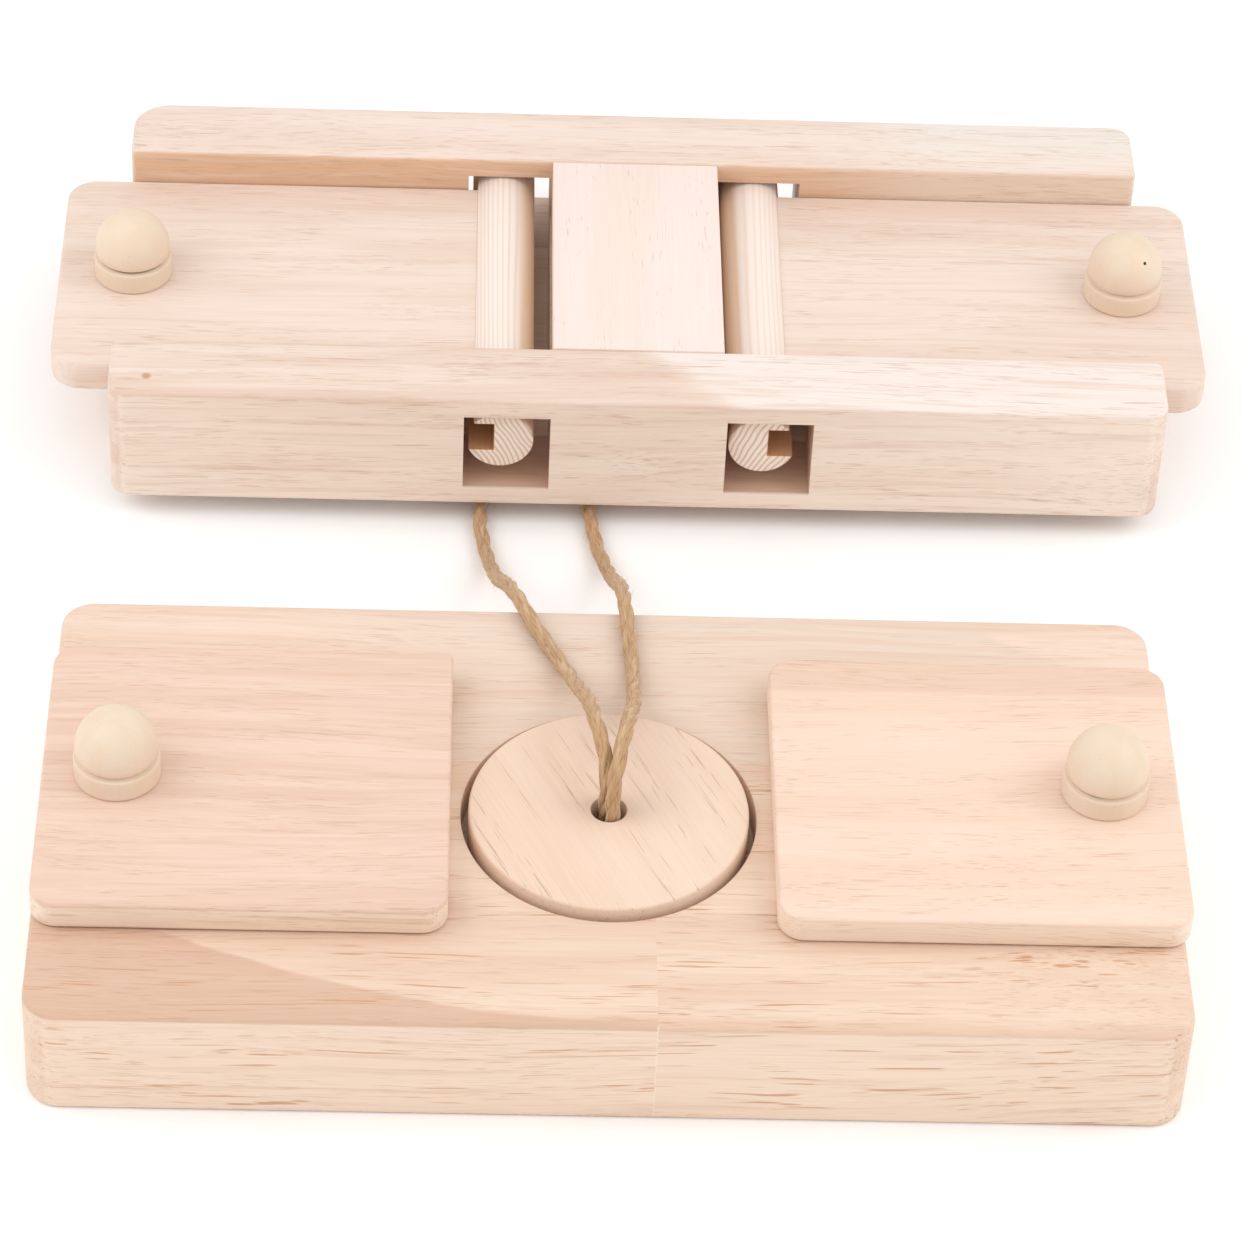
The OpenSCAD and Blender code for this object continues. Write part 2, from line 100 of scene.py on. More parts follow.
def deselect_all() -> None:
    """Leaves nothing selected, so that an operator acts on the new piece only."""
    if bpy.context.object and bpy.context.object.mode != "OBJECT":
        bpy.ops.object.mode_set(mode="OBJECT")
    bpy.ops.object.select_all(action="DESELECT")


def make_active(piece: Piece) -> None:
    """Selects one piece and makes it the active one.

    Args:
        piece: The object that the next operators act on.
    """
    deselect_all()
    piece.select_set(True)
    bpy.context.view_layer.objects.active = piece


def settle(piece: Piece, name: str) -> Piece:
    """Names a new piece and moves its place into its mesh.

    Args:
        piece: The new object.
        name: The name that it gets, and its mesh too.

    Returns:
        The same object, at the origin, unturned and unscaled.
    """
    make_active(piece)
    bpy.ops.object.transform_apply(location=True, rotation=True, scale=True)
    piece.name = name
    piece.data.name = name
    return piece


def block(name: str, space: Space) -> Piece:
    """Adds a cube primitive that fills a space.

    Args:
        name: The piece's name.
        space: The box that it fills.

    Returns:
        The block, ready to be shaped.
    """
    deselect_all()
    bpy.ops.mesh.primitive_cube_add(size=1.0, location=space.centre)
    piece = bpy.context.object
    piece.scale = space.size
    return settle(piece, name)


def rod(name: str, foot: Vector, radius: float, length: float, axis: str = "Z", sides: int = 96) -> Piece:
    """Adds a cylinder primitive.

    Args:
        name: The piece's name.
        foot: The middle of its lower or nearer end.
        radius: Its radius.
        length: Its length.
        axis: "Z" for an upright one, "Y" for one that lies along Y.
        sides: How many sides stand for the round.

    Returns:
        The cylinder, ready to be shaped.
    """
    deselect_all()
    along = Vector((0, 0, 1)) if axis == "Z" else Vector((0, 1, 0))
    turn = (0, 0, 0) if axis == "Z" else (math.radians(-90), 0, 0)
    bpy.ops.mesh.primitive_cylinder_add(
        vertices=sides, radius=radius, depth=length, location=foot + along * length / 2, rotation=turn
    )
    return settle(bpy.context.object, name)


def countersink(
    name: str, mouth: Vector, head_radius: float, shank_radius: float, depth: float, length: float
) -> Piece:
    """Adds the shape of a countersunk screw hole that opens downwards.

    Args:
        name: The cutter's name.
        mouth: The middle of the hole's mouth.
        head_radius: Radius at the mouth.
        shank_radius: Radius of the hole above the cone.
        depth: Height of the cone.
        length: Length of the whole hole.

    Returns:
        The cutter.
    """
    over = 0.5 * MM
    deselect_all()
    bpy.ops.mesh.primitive_cone_add(
        vertices=32, radius1=head_radius, radius2=shank_radius, depth=depth,
        location=mouth + Vector((0, 0, depth / 2)),
    )
    cone = settle(bpy.context.object, name)
    bpy.ops.object.mode_set(mode="EDIT")
    bpy.ops.mesh.select_all(action="DESELECT")
    bpy.ops.object.mode_set(mode="OBJECT")
    for face in cone.data.polygons:
        face.select = abs(face.normal.z) > 0.9
    top = mouth.z + depth / 2
    for face in cone.data.polygons:
        face.select = face.select and face.center.z > top
    bpy.ops.object.mode_set(mode="EDIT")
    bpy.ops.mesh.extrude_region_move(TRANSFORM_OT_translate={"value": (0, 0, length - depth)})
    bpy.ops.mesh.select_all(action="DESELECT")
    bpy.ops.object.mode_set(mode="OBJECT")
    for face in cone.data.polygons:
        face.select = face.normal.z < -0.9
    bpy.ops.object.mode_set(mode="EDIT")
    bpy.ops.mesh.extrude_region_move(TRANSFORM_OT_translate={"value": (0, 0, -over)})
    bpy.ops.object.mode_set(mode="OBJECT")
    return cone


def pick_edges(piece: Piece, test: Callable[[Vector, Vector], bool]) -> int:
    """Selects edges by the places of their ends.

    Args:
        piece: A mesh in object mode, which is the active one.
        test: Says of two ends whether their edge is wanted.

    Returns:
        How many edges were selected.
    """
    bpy.ops.object.mode_set(mode="EDIT")
    bpy.ops.mesh.select_mode(type="EDGE")
    bpy.ops.mesh.select_all(action="DESELECT")
    bpy.ops.object.mode_set(mode="OBJECT")
    found = 0
    points = piece.data.vertices
    for edge in piece.data.edges:
        edge.select = test(points[edge.vertices[0]].co, points[edge.vertices[1]].co)
        found += edge.select
    return found


def round_upright(piece: Piece, corner: tuple[int, int], radius: float, segments: int = 10) -> None:
    """Rounds one of a block's four upright edges.

    Args:
        piece: The block.
        corner: Which edge, as signs along X and Y.
        radius: The radius that it gets.
        segments: How many steps the round has.
    """
    make_active(piece)
    xs = [v.co.x for v in piece.data.vertices]
    ys = [v.co.y for v in piece.data.vertices]
    x = max(xs) if corner[0] > 0 else min(xs)
    y = max(ys) if corner[1] > 0 else min(ys)
    near = 1e-5

    def on_corner(a: Vector, b: Vector) -> bool:
        """Whether both ends stand on the corner."""
        return all(abs(p.x - x) < near and abs(p.y - y) < near for p in (a, b))

    pick_edges(piece, on_corner)
    bpy.ops.object.mode_set(mode="EDIT")
    bpy.ops.mesh.bevel(offset=radius, segments=segments, affect="EDGES", clamp_overlap=False)
    bpy.ops.object.mode_set(mode="OBJECT")


def round_uprights(piece: Piece, radii: Sequence[float]) -> None:
    """Rounds all four upright edges of a block.

    Args:
        piece: The block.
        radii: Radii at front left, front right, rear right and rear left.
    """
    for corner, radius in zip(((-1, -1), (1, -1), (1, 1), (-1, 1)), radii):
        round_upright(piece, corner, radius)


def cut(piece: Piece, cutters: Iterable[Piece]) -> None:
    """Cuts shapes out of a piece and removes them.

    Args:
        piece: What is cut.
        cutters: Closed shapes, which are deleted afterwards.
    """
    for cutter in cutters:
        make_active(piece)
        modifier = piece.modifiers.new("cut", "BOOLEAN")
        modifier.operation = "DIFFERENCE"
        modifier.solver = "EXACT"
        modifier.object = cutter
        bpy.ops.object.modifier_apply(modifier=modifier.name)
        bpy.data.objects.remove(cutter, do_unlink=True)


def ease(piece: Piece, width: float, segments: int = 3, limit: float = 40.0) -> None:
    """Rounds every sharp edge a little, as sanding does.

    Args:
        piece: The mesh.
        width: Width of the rounding.
        segments: How many steps it has.
        limit: Edges sharper than this angle, in degrees, are eased.
    """
    make_active(piece)
    modifier = piece.modifiers.new("ease", "BEVEL")
    modifier.width = width
    modifier.segments = segments
    modifier.limit_method = "ANGLE"
    modifier.angle_limit = math.radians(limit)
    modifier.use_clamp_overlap = False
    modifier.miter_outer = "MITER_ARC"
    bpy.ops.object.modifier_apply(modifier=modifier.name)


def smooth(piece: Piece, angle: float = 32.0) -> None:
    """Shades a piece smooth except at edges sharper than an angle in degrees."""
    make_active(piece)
    bpy.ops.object.shade_smooth_by_angle(angle=math.radians(angle))


def keep_side(piece: Piece, point: Vector, normal: Vector) -> None:
    """Cuts a closed mesh by a plane, keeps what lies behind the normal and closes the cut.

    Args:
        piece: The mesh.
        point: A point of the plane.
        normal: The plane's normal, which points to the side that goes.
    """
    make_active(piece)
    bpy.ops.object.mode_set(mode="EDIT")
    bpy.ops.mesh.select_all(action="SELECT")
    bpy.ops.mesh.bisect(plane_co=point, plane_no=normal, use_fill=True, clear_outer=True)
    bpy.ops.object.mode_set(mode="OBJECT")


def copy_piece(piece: Piece, name: str, shift: Vector) -> Piece:
    """Copies a piece with its own mesh and moves the copy within that mesh.

    Args:
        piece: What is copied.
        name: The copy's name.
        shift: How far the copy is moved.

    Returns:
        The copy.
    """
    twin = piece.copy()
    twin.data = piece.data.copy()
    bpy.context.scene.collection.objects.link(twin)
    twin.data.transform(Matrix.Translation(shift))
    twin.name = name
    twin.data.name = name
    return twin


# ---------------------------------------------------------------- material helpers


class Graph:
    """A material's node tree, built socket by socket."""

    def __init__(self, name: str) -> None:
        """Starts a material that holds a Principled shader and its output.

        Args:
            name: The material's name.
        """
        self.material = bpy.data.materials.new(name)
        self.material.use_nodes = True
        self.tree = self.material.node_tree
        self.shader = self.tree.nodes["Principled BSDF"]

    def node(self, kind: str, **settings: object) -> bpy.types.Node:
        """Adds a node and sets its properties."""
        made = self.tree.nodes.new(kind)
        for key, value in settings.items():
            setattr(made, key, value)
        return made

    def plug_in(self, source: object, target: Socket) -> None:
        """Links a socket to a target, or sets the target's own value.

        Args:
            source: A socket, or a plain value.
            target: The input that takes it.
        """
        if isinstance(source, Socket):
            self.tree.links.new(source, target)
        else:
            target.default_value = source

    def math(self, operation: str, *inputs: object, clamp: bool = False) -> Socket:
        """One step of arithmetic.

        Args:
            operation: The Math node's operation.
            inputs: Sockets or numbers.
            clamp: Whether the result is kept from 0 to 1.

        Returns:
            The result's socket.
        """
        made = self.node("ShaderNodeMath", operation=operation, use_clamp=clamp)
        for source, target in zip(inputs, made.inputs):
            self.plug_in(source, target)
        return made.outputs[0]

    def vector(self, operation: str, *inputs: object) -> Socket:
        """One step of vector arithmetic on sockets or triples, as its result's socket."""
        made = self.node("ShaderNodeVectorMath", operation=operation)
        for source, target in zip(inputs, made.inputs):
            self.plug_in(source, target)
        return made.outputs["Value" if operation in ("LENGTH", "DISTANCE") else "Vector"]

    def noise(
        self, place: Socket, cell: Sequence[float], detail: float = 0.0, rough: float = 0.5
    ) -> Socket:
        """Noise whose grains have a given size.

        Args:
            place: Position in millimetres.
            cell: The grain's length along each axis in millimetres.
            detail: Octaves of finer noise.
            rough: How strong the finer noise is.

        Returns:
            The noise's value, about 0.5 on average.
        """
        made = self.node("ShaderNodeTexNoise")
        made.inputs["Scale"].default_value = 1.0
        made.inputs["Detail"].default_value = detail
        made.inputs["Roughness"].default_value = rough
        scaled = self.vector("MULTIPLY", place, tuple(1.0 / c for c in cell))
        self.plug_in(scaled, made.inputs["Vector"])
        return made.outputs[0]

    def step(self, value: Socket, start: float, end: float) -> Socket:
        """A smooth step from 0 at start to 1 at end."""
        made = self.node("ShaderNodeMapRange", interpolation_type="SMOOTHSTEP", clamp=True)
        self.plug_in(value, made.inputs["Value"])
        made.inputs["From Min"].default_value = start
        made.inputs["From Max"].default_value = end
        return made.outputs["Result"]

    def mix(self, share: object, first: object, second: object, blend: str = "MIX") -> Socket:
        """Mixes two colours.

        Args:
            share: How much of the second, a socket or a number.
            first: A colour socket or a colour.
            second: A colour socket or a colour.
            blend: The blend type.

        Returns:
            The mixed colour's socket.
        """
        made = self.node("ShaderNodeMix", data_type="RGBA", blend_type=blend)
        self.plug_in(share, made.inputs[0])
        for source, target in ((first, made.inputs[6]), (second, made.inputs[7])):
            self.plug_in(source if isinstance(source, Socket) else (*source, 1.0), target)
        return made.outputs[2]

    def bump(self, height: Socket, distance: float, strength: float = 1.0) -> None:
        """Roughens the shader's normal by a height.

        Args:
            height: The height from 0 to 1.
            distance: What 1 stands for, in metres.
            strength: Share of the effect.
        """
        made = self.node("ShaderNodeBump")
        made.inputs["Distance"].default_value = distance
        made.inputs["Strength"].default_value = strength
        self.plug_in(height, made.inputs["Height"])
        self.plug_in(made.outputs["Normal"], self.shader.inputs["Normal"])


class Grain(Enum):
    """Which way a piece's fibres run: turns, in degrees, that bring them to X."""

    ALONG_X = (0.0, 0.0, 0.0)
    ALONG_Y = (0.0, 0.0, 90.0)
    SLANTING = (0.0, 0.0, 64.0)
    UPRIGHT = (0.0, 90.0, 0.0)


@dataclass(frozen=True)
class Stain:
    """A patch of other colour inside a box and behind a curved edge: other-coloured wood in some places,
    painted light and shade in others. Lengths are in millimetres.

    The edge is where constant + along_x * x + along_y * y + curve * (x - curve_x)^2 is 0.
    """

    colour: Colour
    strength: float = 0.6
    low: tuple[float, float, float] = (-OPEN, -OPEN, -OPEN)
    high: tuple[float, float, float] = (OPEN, OPEN, OPEN)
    blur: float = 0.4
    constant: float = 1.0
    along_x: float = 0.0
    along_y: float = 0.0
    curve: float = 0.0
    curve_x: float = 0.0
    softness: float = 1.0
    waviness: float = 0.0

    def share(self, graph: Graph, board: Socket) -> Socket:
        """How much of the stain shows at each place.

        Args:
            graph: The material's graph.
            board: Position in millimetres.

        Returns:
            A share from 0 to the stain's strength.
        """
        parts = graph.node("ShaderNodeSeparateXYZ")
        graph.plug_in(board, parts.inputs[0])
        x, y, _ = parts.outputs
        total = graph.math("MULTIPLY_ADD", x, self.along_x, self.constant)
        total = graph.math("MULTIPLY_ADD", y, self.along_y, total)
        if self.curve:
            offset = graph.math("SUBTRACT", x, self.curve_x)
            total = graph.math("MULTIPLY_ADD", graph.math("MULTIPLY", offset, offset), self.curve, total)
        if self.waviness:
            ripple = graph.noise(board, (26.0, 9.0, 9.0), 2.0)
            wave = graph.math("MULTIPLY_ADD", ripple, 2 * self.waviness, -self.waviness)
            total = graph.math("ADD", total, wave)
        found = graph.math("MULTIPLY", graph.step(total, 0.0, self.softness), self.strength)
        for place, low, high in zip(parts.outputs, self.low, self.high):
            if low > -OPEN:
                found = graph.math("MULTIPLY", found, graph.step(place, low - self.blur, low + self.blur))
            if high < OPEN:
                outside = graph.step(place, high - self.blur, high + self.blur)
                found = graph.math("MULTIPLY", found, graph.math("SUBTRACT", 1.0, outside))
        return found


@dataclass(frozen=True)
class Pinhole:
    """A dark pinhole or a small knot, centred at a place in metres. Its radius is in millimetres."""

    place: tuple[float, float, float]
    radius: float = 0.6
    colour: Colour = (0.02, 0.015, 0.01)
    core: float = 0.7


@dataclass(frozen=True)
class Pores:
    """Open pores that show as thin dashes along the grain. Lengths are in millimetres."""

    colour: Colour = (0.50, 0.27, 0.16)
    length: float = 16.0
    width: float = 0.5
    level: float = 0.62
    strength: float = 0.5
    row_width: float = 7.0
    row_level: float = 0.45

    def share(self, graph: Graph, along: Socket, shift: float) -> Socket:
        """How dark the pores are at each place.

        Args:
            graph: The material's graph.
            along: Position along and across the grain.
            shift: An offset that sets one family of pores apart from the others.

        Returns:
            A share from 0 to the pores' strength.
        """
        place = graph.vector("ADD", along, (shift, shift, shift))
        marks = graph.noise(place, (self.length, self.width, self.width), 1.0, 0.4)
        rows = graph.noise(place, (6 * self.length, self.row_width, self.row_width), 1.0)
        marks = graph.step(marks, self.level, self.level + 0.07)
        marks = graph.math("MULTIPLY", marks, graph.step(rows, self.row_level, self.row_level + 0.12))
        return graph.math("MULTIPLY", marks, self.strength)


FINE_PORES = Pores(length=11.0, width=0.34, level=0.6, strength=0.34, row_width=5.0, row_level=0.42)
BROWN_DASHES = Pores(length=20.0, width=0.6, level=0.66, strength=0.5)
# Every WoodFinish is multiplied by this, which cools it a little; the pine finishes are not.
WOOD_TONE: Colour = (0.975, 1.0, 1.018)


@dataclass(frozen=True)
class WoodFinish:
    """Sanded bare wood with growth bands, fibres and open pores. Lengths are in millimetres."""

    name: str
    pale: Colour = (0.82, 0.64, 0.48)
    warm: Colour = (0.74, 0.52, 0.37)
    grain: Grain = Grain.ALONG_X
    seed: tuple[float, float, float] = (0.0, 0.0, 0.0)
    band_length: float = 150.0
    band_width: float = 12.0
    band_strength: float = 0.6
    streak_width: float = 1.9
    streak_strength: float = 0.13
    fibre_width: float = 0.45
    fibre_strength: float = 0.09
    pores: tuple[Pores, ...] = (FINE_PORES, BROWN_DASHES)
    wander: float = 4.0
    lean: float = 0.0
    roughness: float = 0.62
    stains: tuple[Stain, ...] = ()
    pinhole: Optional[Pinhole] = None

    def place(self, graph: Graph) -> tuple[Socket, Socket]:
        """Finds the position along and across the grain.

        Args:
            graph: The material's graph.

        Returns:
            The position in the board in millimetres, and the same turned to the grain and wandering.
        """
        source = graph.node("ShaderNodeTexCoord")
        board = graph.vector("SCALE", source.outputs["Object"])
        board.node.inputs["Scale"].default_value = 1.0 / MM
        turned = graph.node("ShaderNodeMapping", vector_type="POINT")
        across, up, round_z = self.grain.value
        angles = (across, up + self.lean, round_z)
        turned.inputs["Rotation"].default_value = [math.radians(a) for a in angles]
        turned.inputs["Location"].default_value = self.seed
        graph.plug_in(board, turned.inputs["Vector"])
        drift = graph.node("ShaderNodeTexNoise")
        drift.inputs["Scale"].default_value = 1.0
        drift.inputs["Detail"].default_value = 1.0
        slow = graph.vector("MULTIPLY", turned.outputs[0], (1 / 130.0, 1 / 60.0, 1 / 60.0))
        graph.plug_in(slow, drift.inputs["Vector"])
        centred = graph.vector("SUBTRACT", drift.outputs["Color"], (0.5, 0.5, 0.5))
        sway = graph.vector("MULTIPLY", centred, (0.0, 2.6 * self.wander, 2.6 * self.wander))
        return board, graph.vector("ADD", turned.outputs[0], sway)

    def shade(self, graph: Graph, colour: Socket, waves: Socket, strength: float) -> Socket:
        """Darkens and lightens a colour by a noise about 0.5."""
        value = graph.math("MULTIPLY_ADD", waves, 2 * strength, 1.0 - strength)
        grey = graph.node("ShaderNodeCombineColor")
        for target in grey.inputs:
            graph.plug_in(value, target)
        return graph.mix(1.0, colour, grey.outputs[0], "MULTIPLY")

    def build(self) -> Material:
        """Makes the material."""
        graph = Graph(self.name)
        board, along = self.place(graph)
        bands = graph.noise(along, (self.band_length, self.band_width, self.band_width), 2.0, 0.55)
        share = graph.math("MULTIPLY", graph.step(bands, 0.36, 0.66), self.band_strength)
        colour = graph.mix(share, self.pale, self.warm)
        for stain in self.stains:
            colour = graph.mix(stain.share(graph, board), colour, stain.colour)
        streaks = graph.noise(along, (90.0, self.streak_width, self.streak_width), 2.0, 0.5)
        fibres = graph.noise(along, (34.0, self.fibre_width, self.fibre_width), 2.0, 0.6)
        redness = graph.step(streaks, 0.48, 0.74)
        reddened = graph.math("MULTIPLY", redness, 4 * self.streak_strength, clamp=True)
        colour = graph.mix(reddened, colour, self.warm)
        colour = self.shade(graph, colour, fibres, self.fibre_strength)
        marks: object = 0.0
        for number, family in enumerate(self.pores):
            here = family.share(graph, along, 37.0 * (number + 1))
            colour = graph.mix(here, colour, family.colour)
            marks = graph.math("ADD", here, marks)
        if self.pinhole:
            away = graph.vector("DISTANCE", board, tuple(c / MM for c in self.pinhole.place))
            reach = self.pinhole.radius
            inside = graph.math("SUBTRACT", 1.0, graph.step(away, self.pinhole.core * reach, reach))
            colour = graph.mix(inside, colour, self.pinhole.colour)
        colour = graph.mix(1.0, colour, WOOD_TONE, "MULTIPLY")
        graph.plug_in(colour, graph.shader.inputs["Base Color"])
        graph.shader.inputs["Roughness"].default_value = self.roughness
        graph.shader.inputs["Specular IOR Level"].default_value = 0.3
        height = graph.math("SUBTRACT", graph.math("MULTIPLY", fibres, 0.3), marks)
        graph.bump(height, 0.10 * MM, 0.45)
        return graph.material


@dataclass(frozen=True)
class PineFinish:
    """Pine rod: straight growth layers that show as lines along it and stripes on its ends."""

    name: str
    early: Colour = (0.86, 0.75, 0.68)
    late: Colour = (0.66, 0.46, 0.31)
    layer: float = 1.7
    slant: float = 28.0
    seed: tuple[float, float, float] = (0.0, 0.0, 0.0)
    late_strength: float = 0.6
    ends: Optional[tuple[float, float]] = None
    end_strength: float = 1.15
    roughness: float = 0.6
    stains: tuple[Stain, ...] = ()

    def build(self) -> Material:
        """Makes the material."""
        graph = Graph(self.name)
        source = graph.node("ShaderNodeTexCoord")
        scaled = graph.vector("SCALE", source.outputs["Object"])
        scaled.node.inputs["Scale"].default_value = 1.0 / MM
        turned = graph.node("ShaderNodeMapping", vector_type="POINT")
        turned.inputs["Rotation"].default_value = (0.0, math.radians(self.slant), 0.0)
        turned.inputs["Location"].default_value = self.seed
        graph.plug_in(scaled, turned.inputs["Vector"])
        along = turned.outputs[0]
        parts = graph.node("ShaderNodeSeparateXYZ")
        graph.plug_in(along, parts.inputs[0])
        drift = graph.noise(along, (14.0, 160.0, 14.0), 1.0)
        rings = graph.math("MULTIPLY_ADD", drift, 5.0, parts.outputs[0])
        phase = graph.math("MULTIPLY", rings, 2 * math.pi / self.layer)
        wave = graph.math("MULTIPLY_ADD", graph.math("SINE", phase), 0.5, 0.5)
        late = graph.math("POWER", wave, 3.0)
        fibres = graph.noise(along, (0.45, 26.0, 0.45), 3.0, 0.6)
        share = graph.math("MULTIPLY", late, graph.math("MULTIPLY_ADD", fibres, 0.8, 0.6))
        strength: object = self.late_strength
        if self.ends:
            place = graph.node("ShaderNodeSeparateXYZ")
            graph.plug_in(scaled, place.inputs[0])
            near = graph.step(place.outputs[1], self.ends[0] + 0.1, self.ends[0] + 0.7)
            far = graph.step(place.outputs[1], self.ends[1] - 0.7, self.ends[1] - 0.1)
            outside = graph.math("ADD", graph.math("SUBTRACT", 1.0, near), far)
            extra = self.end_strength - self.late_strength
            strength = graph.math("MULTIPLY_ADD", outside, extra, self.late_strength)
        share = graph.math("MULTIPLY", share, strength, clamp=True)
        colour = graph.mix(share, self.early, self.late)
        for stain in self.stains:
            colour = graph.mix(stain.share(graph, scaled), colour, stain.colour)
        graph.plug_in(colour, graph.shader.inputs["Base Color"])
        graph.shader.inputs["Roughness"].default_value = self.roughness
        graph.shader.inputs["Specular IOR Level"].default_value = 0.3
        height = graph.math("MULTIPLY_ADD", fibres, 0.5, graph.math("MULTIPLY", late, 0.4))
        graph.bump(height, 0.12 * MM, 0.6)
        return graph.material


@dataclass(frozen=True)
class JuteFinish:
    """Spun jute: fibres that wind round each ply, read from the ply's own UV map."""

    name: str
    light: Colour = (0.55, 0.345, 0.185)
    dark: Colour = (0.32, 0.175, 0.085)
    bright: Colour = (0.70, 0.50, 0.31)

    def build(self) -> Material:
        """Makes the material."""
        graph = Graph(self.name)
        source = graph.node("ShaderNodeTexCoord")
        skew = graph.node("ShaderNodeMapping", vector_type="POINT")
        skew.inputs["Rotation"].default_value = (0.0, 0.0, math.radians(24))
        graph.plug_in(source.outputs["UV"], skew.inputs["Vector"])
        along = skew.outputs[0]
        fibres = graph.noise(along, (9.0, 0.32, 1.0), 3.0, 0.65)
        clumps = graph.noise(along, (14.0, 1.6, 1.0), 1.0)
        colour = graph.mix(graph.step(fibres, 0.30, 0.56), self.dark, self.light)
        bright_share = graph.math("MULTIPLY", graph.step(clumps, 0.5, 0.72), 0.55)
        colour = graph.mix(bright_share, colour, self.bright)
        graph.plug_in(colour, graph.shader.inputs["Base Color"])
        graph.shader.inputs["Roughness"].default_value = 0.85
        graph.shader.inputs["Specular IOR Level"].default_value = 0.2
        graph.shader.inputs["Sheen Weight"].default_value = 0.25
        graph.shader.inputs["Sheen Roughness"].default_value = 0.5
        graph.bump(fibres, 0.25 * MM, 0.8)
        return graph.material


@dataclass(frozen=True)
class SteelFinish:
    """Zinc-plated steel with faint turning marks."""

    name: str
    colour: Colour = (0.62, 0.62, 0.63)
    roughness: float = 0.34

    def build(self) -> Material:
        """Makes the material."""
        graph = Graph(self.name)
        source = graph.node("ShaderNodeTexCoord")
        scaled = graph.vector("SCALE", source.outputs["Object"])
        scaled.node.inputs["Scale"].default_value = 1.0 / MM
        marks = graph.noise(scaled, (2.5, 2.5, 0.2), 2.0)
        colour = graph.mix(graph.math("MULTIPLY", marks, 0.5), self.colour, (0.48, 0.47, 0.44))
        graph.plug_in(colour, graph.shader.inputs["Base Color"])
        graph.shader.inputs["Metallic"].default_value = 1.0
        graph.shader.inputs["Roughness"].default_value = self.roughness
        graph.bump(marks, 0.04 * MM, 0.5)
        return graph.material


def dress(piece: Piece, material: Material) -> None:
    """Gives a piece one material.

    Args:
        piece: The mesh.
        material: Its finish.
    """
    piece.data.materials.clear()
    piece.data.materials.append(material)


def stand_in(piece: Piece, node: str, body: str) -> Piece:
    """Puts a finished piece in the place of its CAD node.

    Args:
        piece: The finished piece.
        node: The CAD node that it replaces.
        body: The body that it rides on.

    Returns:
        The same piece.
    """
    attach(piece, body)
    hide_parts(node)
    return piece


# ---------------------------------------------------------------- camera, floor and lights


@dataclass
class Studio:
    """The camera, a pale floor and soft lights."""

    camera_place: tuple[float, float, float] = (-0.0495, -1.0605, 0.9601)
    camera_pitch: float = 48.01
    camera_heading: float = -2.54
    camera_roll: float = 2.91
    lens: float = 144.93
    sensor: float = 36.0
    floor_size: float = 6.0
    lamp_power: float = 2.6
    sky: float = 0.955

    def camera(self) -> Piece:
        """Makes the camera and returns it."""
        data = bpy.data.cameras.new("camera")
        data.lens = self.lens
        data.sensor_width = self.sensor
        data.clip_start = 0.05
        camera = bpy.data.objects.new("camera", data)
        bpy.context.scene.collection.objects.link(camera)
        turn = (
            Matrix.Rotation(math.radians(self.camera_heading), 4, "Z")
            @ Matrix.Rotation(math.radians(self.camera_pitch), 4, "X")
            @ Matrix.Rotation(math.radians(self.camera_roll), 4, "Z")
        )
        camera.matrix_world = Matrix.Translation(self.camera_place) @ turn
        bpy.context.scene.camera = camera
        return camera

    def floor(self) -> Piece:
        """Makes the floor and returns it."""
        deselect_all()
        bpy.ops.mesh.primitive_plane_add(size=self.floor_size, location=(0, 0, 0))
        floor = settle(bpy.context.object, "floor")
        graph = Graph("floor_paint")
        graph.shader.inputs["Base Color"].default_value = (0.98, 0.98, 0.98, 1.0)
        graph.shader.inputs["Roughness"].default_value = 0.9
        graph.shader.inputs["Specular IOR Level"].default_value = 0.1
        dress(floor, graph.material)
        return floor

    def light(self, name: str, place: Vector, aim: Vector, size: float, power: float) -> None:
        """Adds one square area light.

        Args:
            name: The light's name.
            place: Where it hangs.
            aim: The point that it faces.
            size: Its side.
            power: Its power in watts.
        """
        data = bpy.data.lights.new(name, "AREA")
        data.size = size
        data.energy = power
        lamp = bpy.data.objects.new(name, data)
        bpy.context.scene.collection.objects.link(lamp)
        lamp.location = place
        lamp.rotation_euler = (aim - place).to_track_quat("-Z", "Y").to_euler()

    def lights(self) -> None:
        """Adds a bright sky and one soft lamp on each side."""
        world = bpy.data.worlds.new("sky")
        world.use_nodes = True
        world.node_tree.nodes["Background"].inputs["Color"].default_value = (1.0, 1.0, 1.0, 1.0)
        world.node_tree.nodes["Background"].inputs["Strength"].default_value = self.sky
        bpy.context.scene.world = world
        bpy.context.scene.view_settings.view_transform = "Standard"
        aim = Vector((0.0, 0.0, 0.0))
        self.light("left_lamp", Vector((-0.75, -0.15, 0.75)), aim, 0.7, self.lamp_power)
        self.light("right_lamp", Vector((0.75, -0.15, 0.75)), aim, 0.7, self.lamp_power)


# ---------------------------------------------------------------- rope


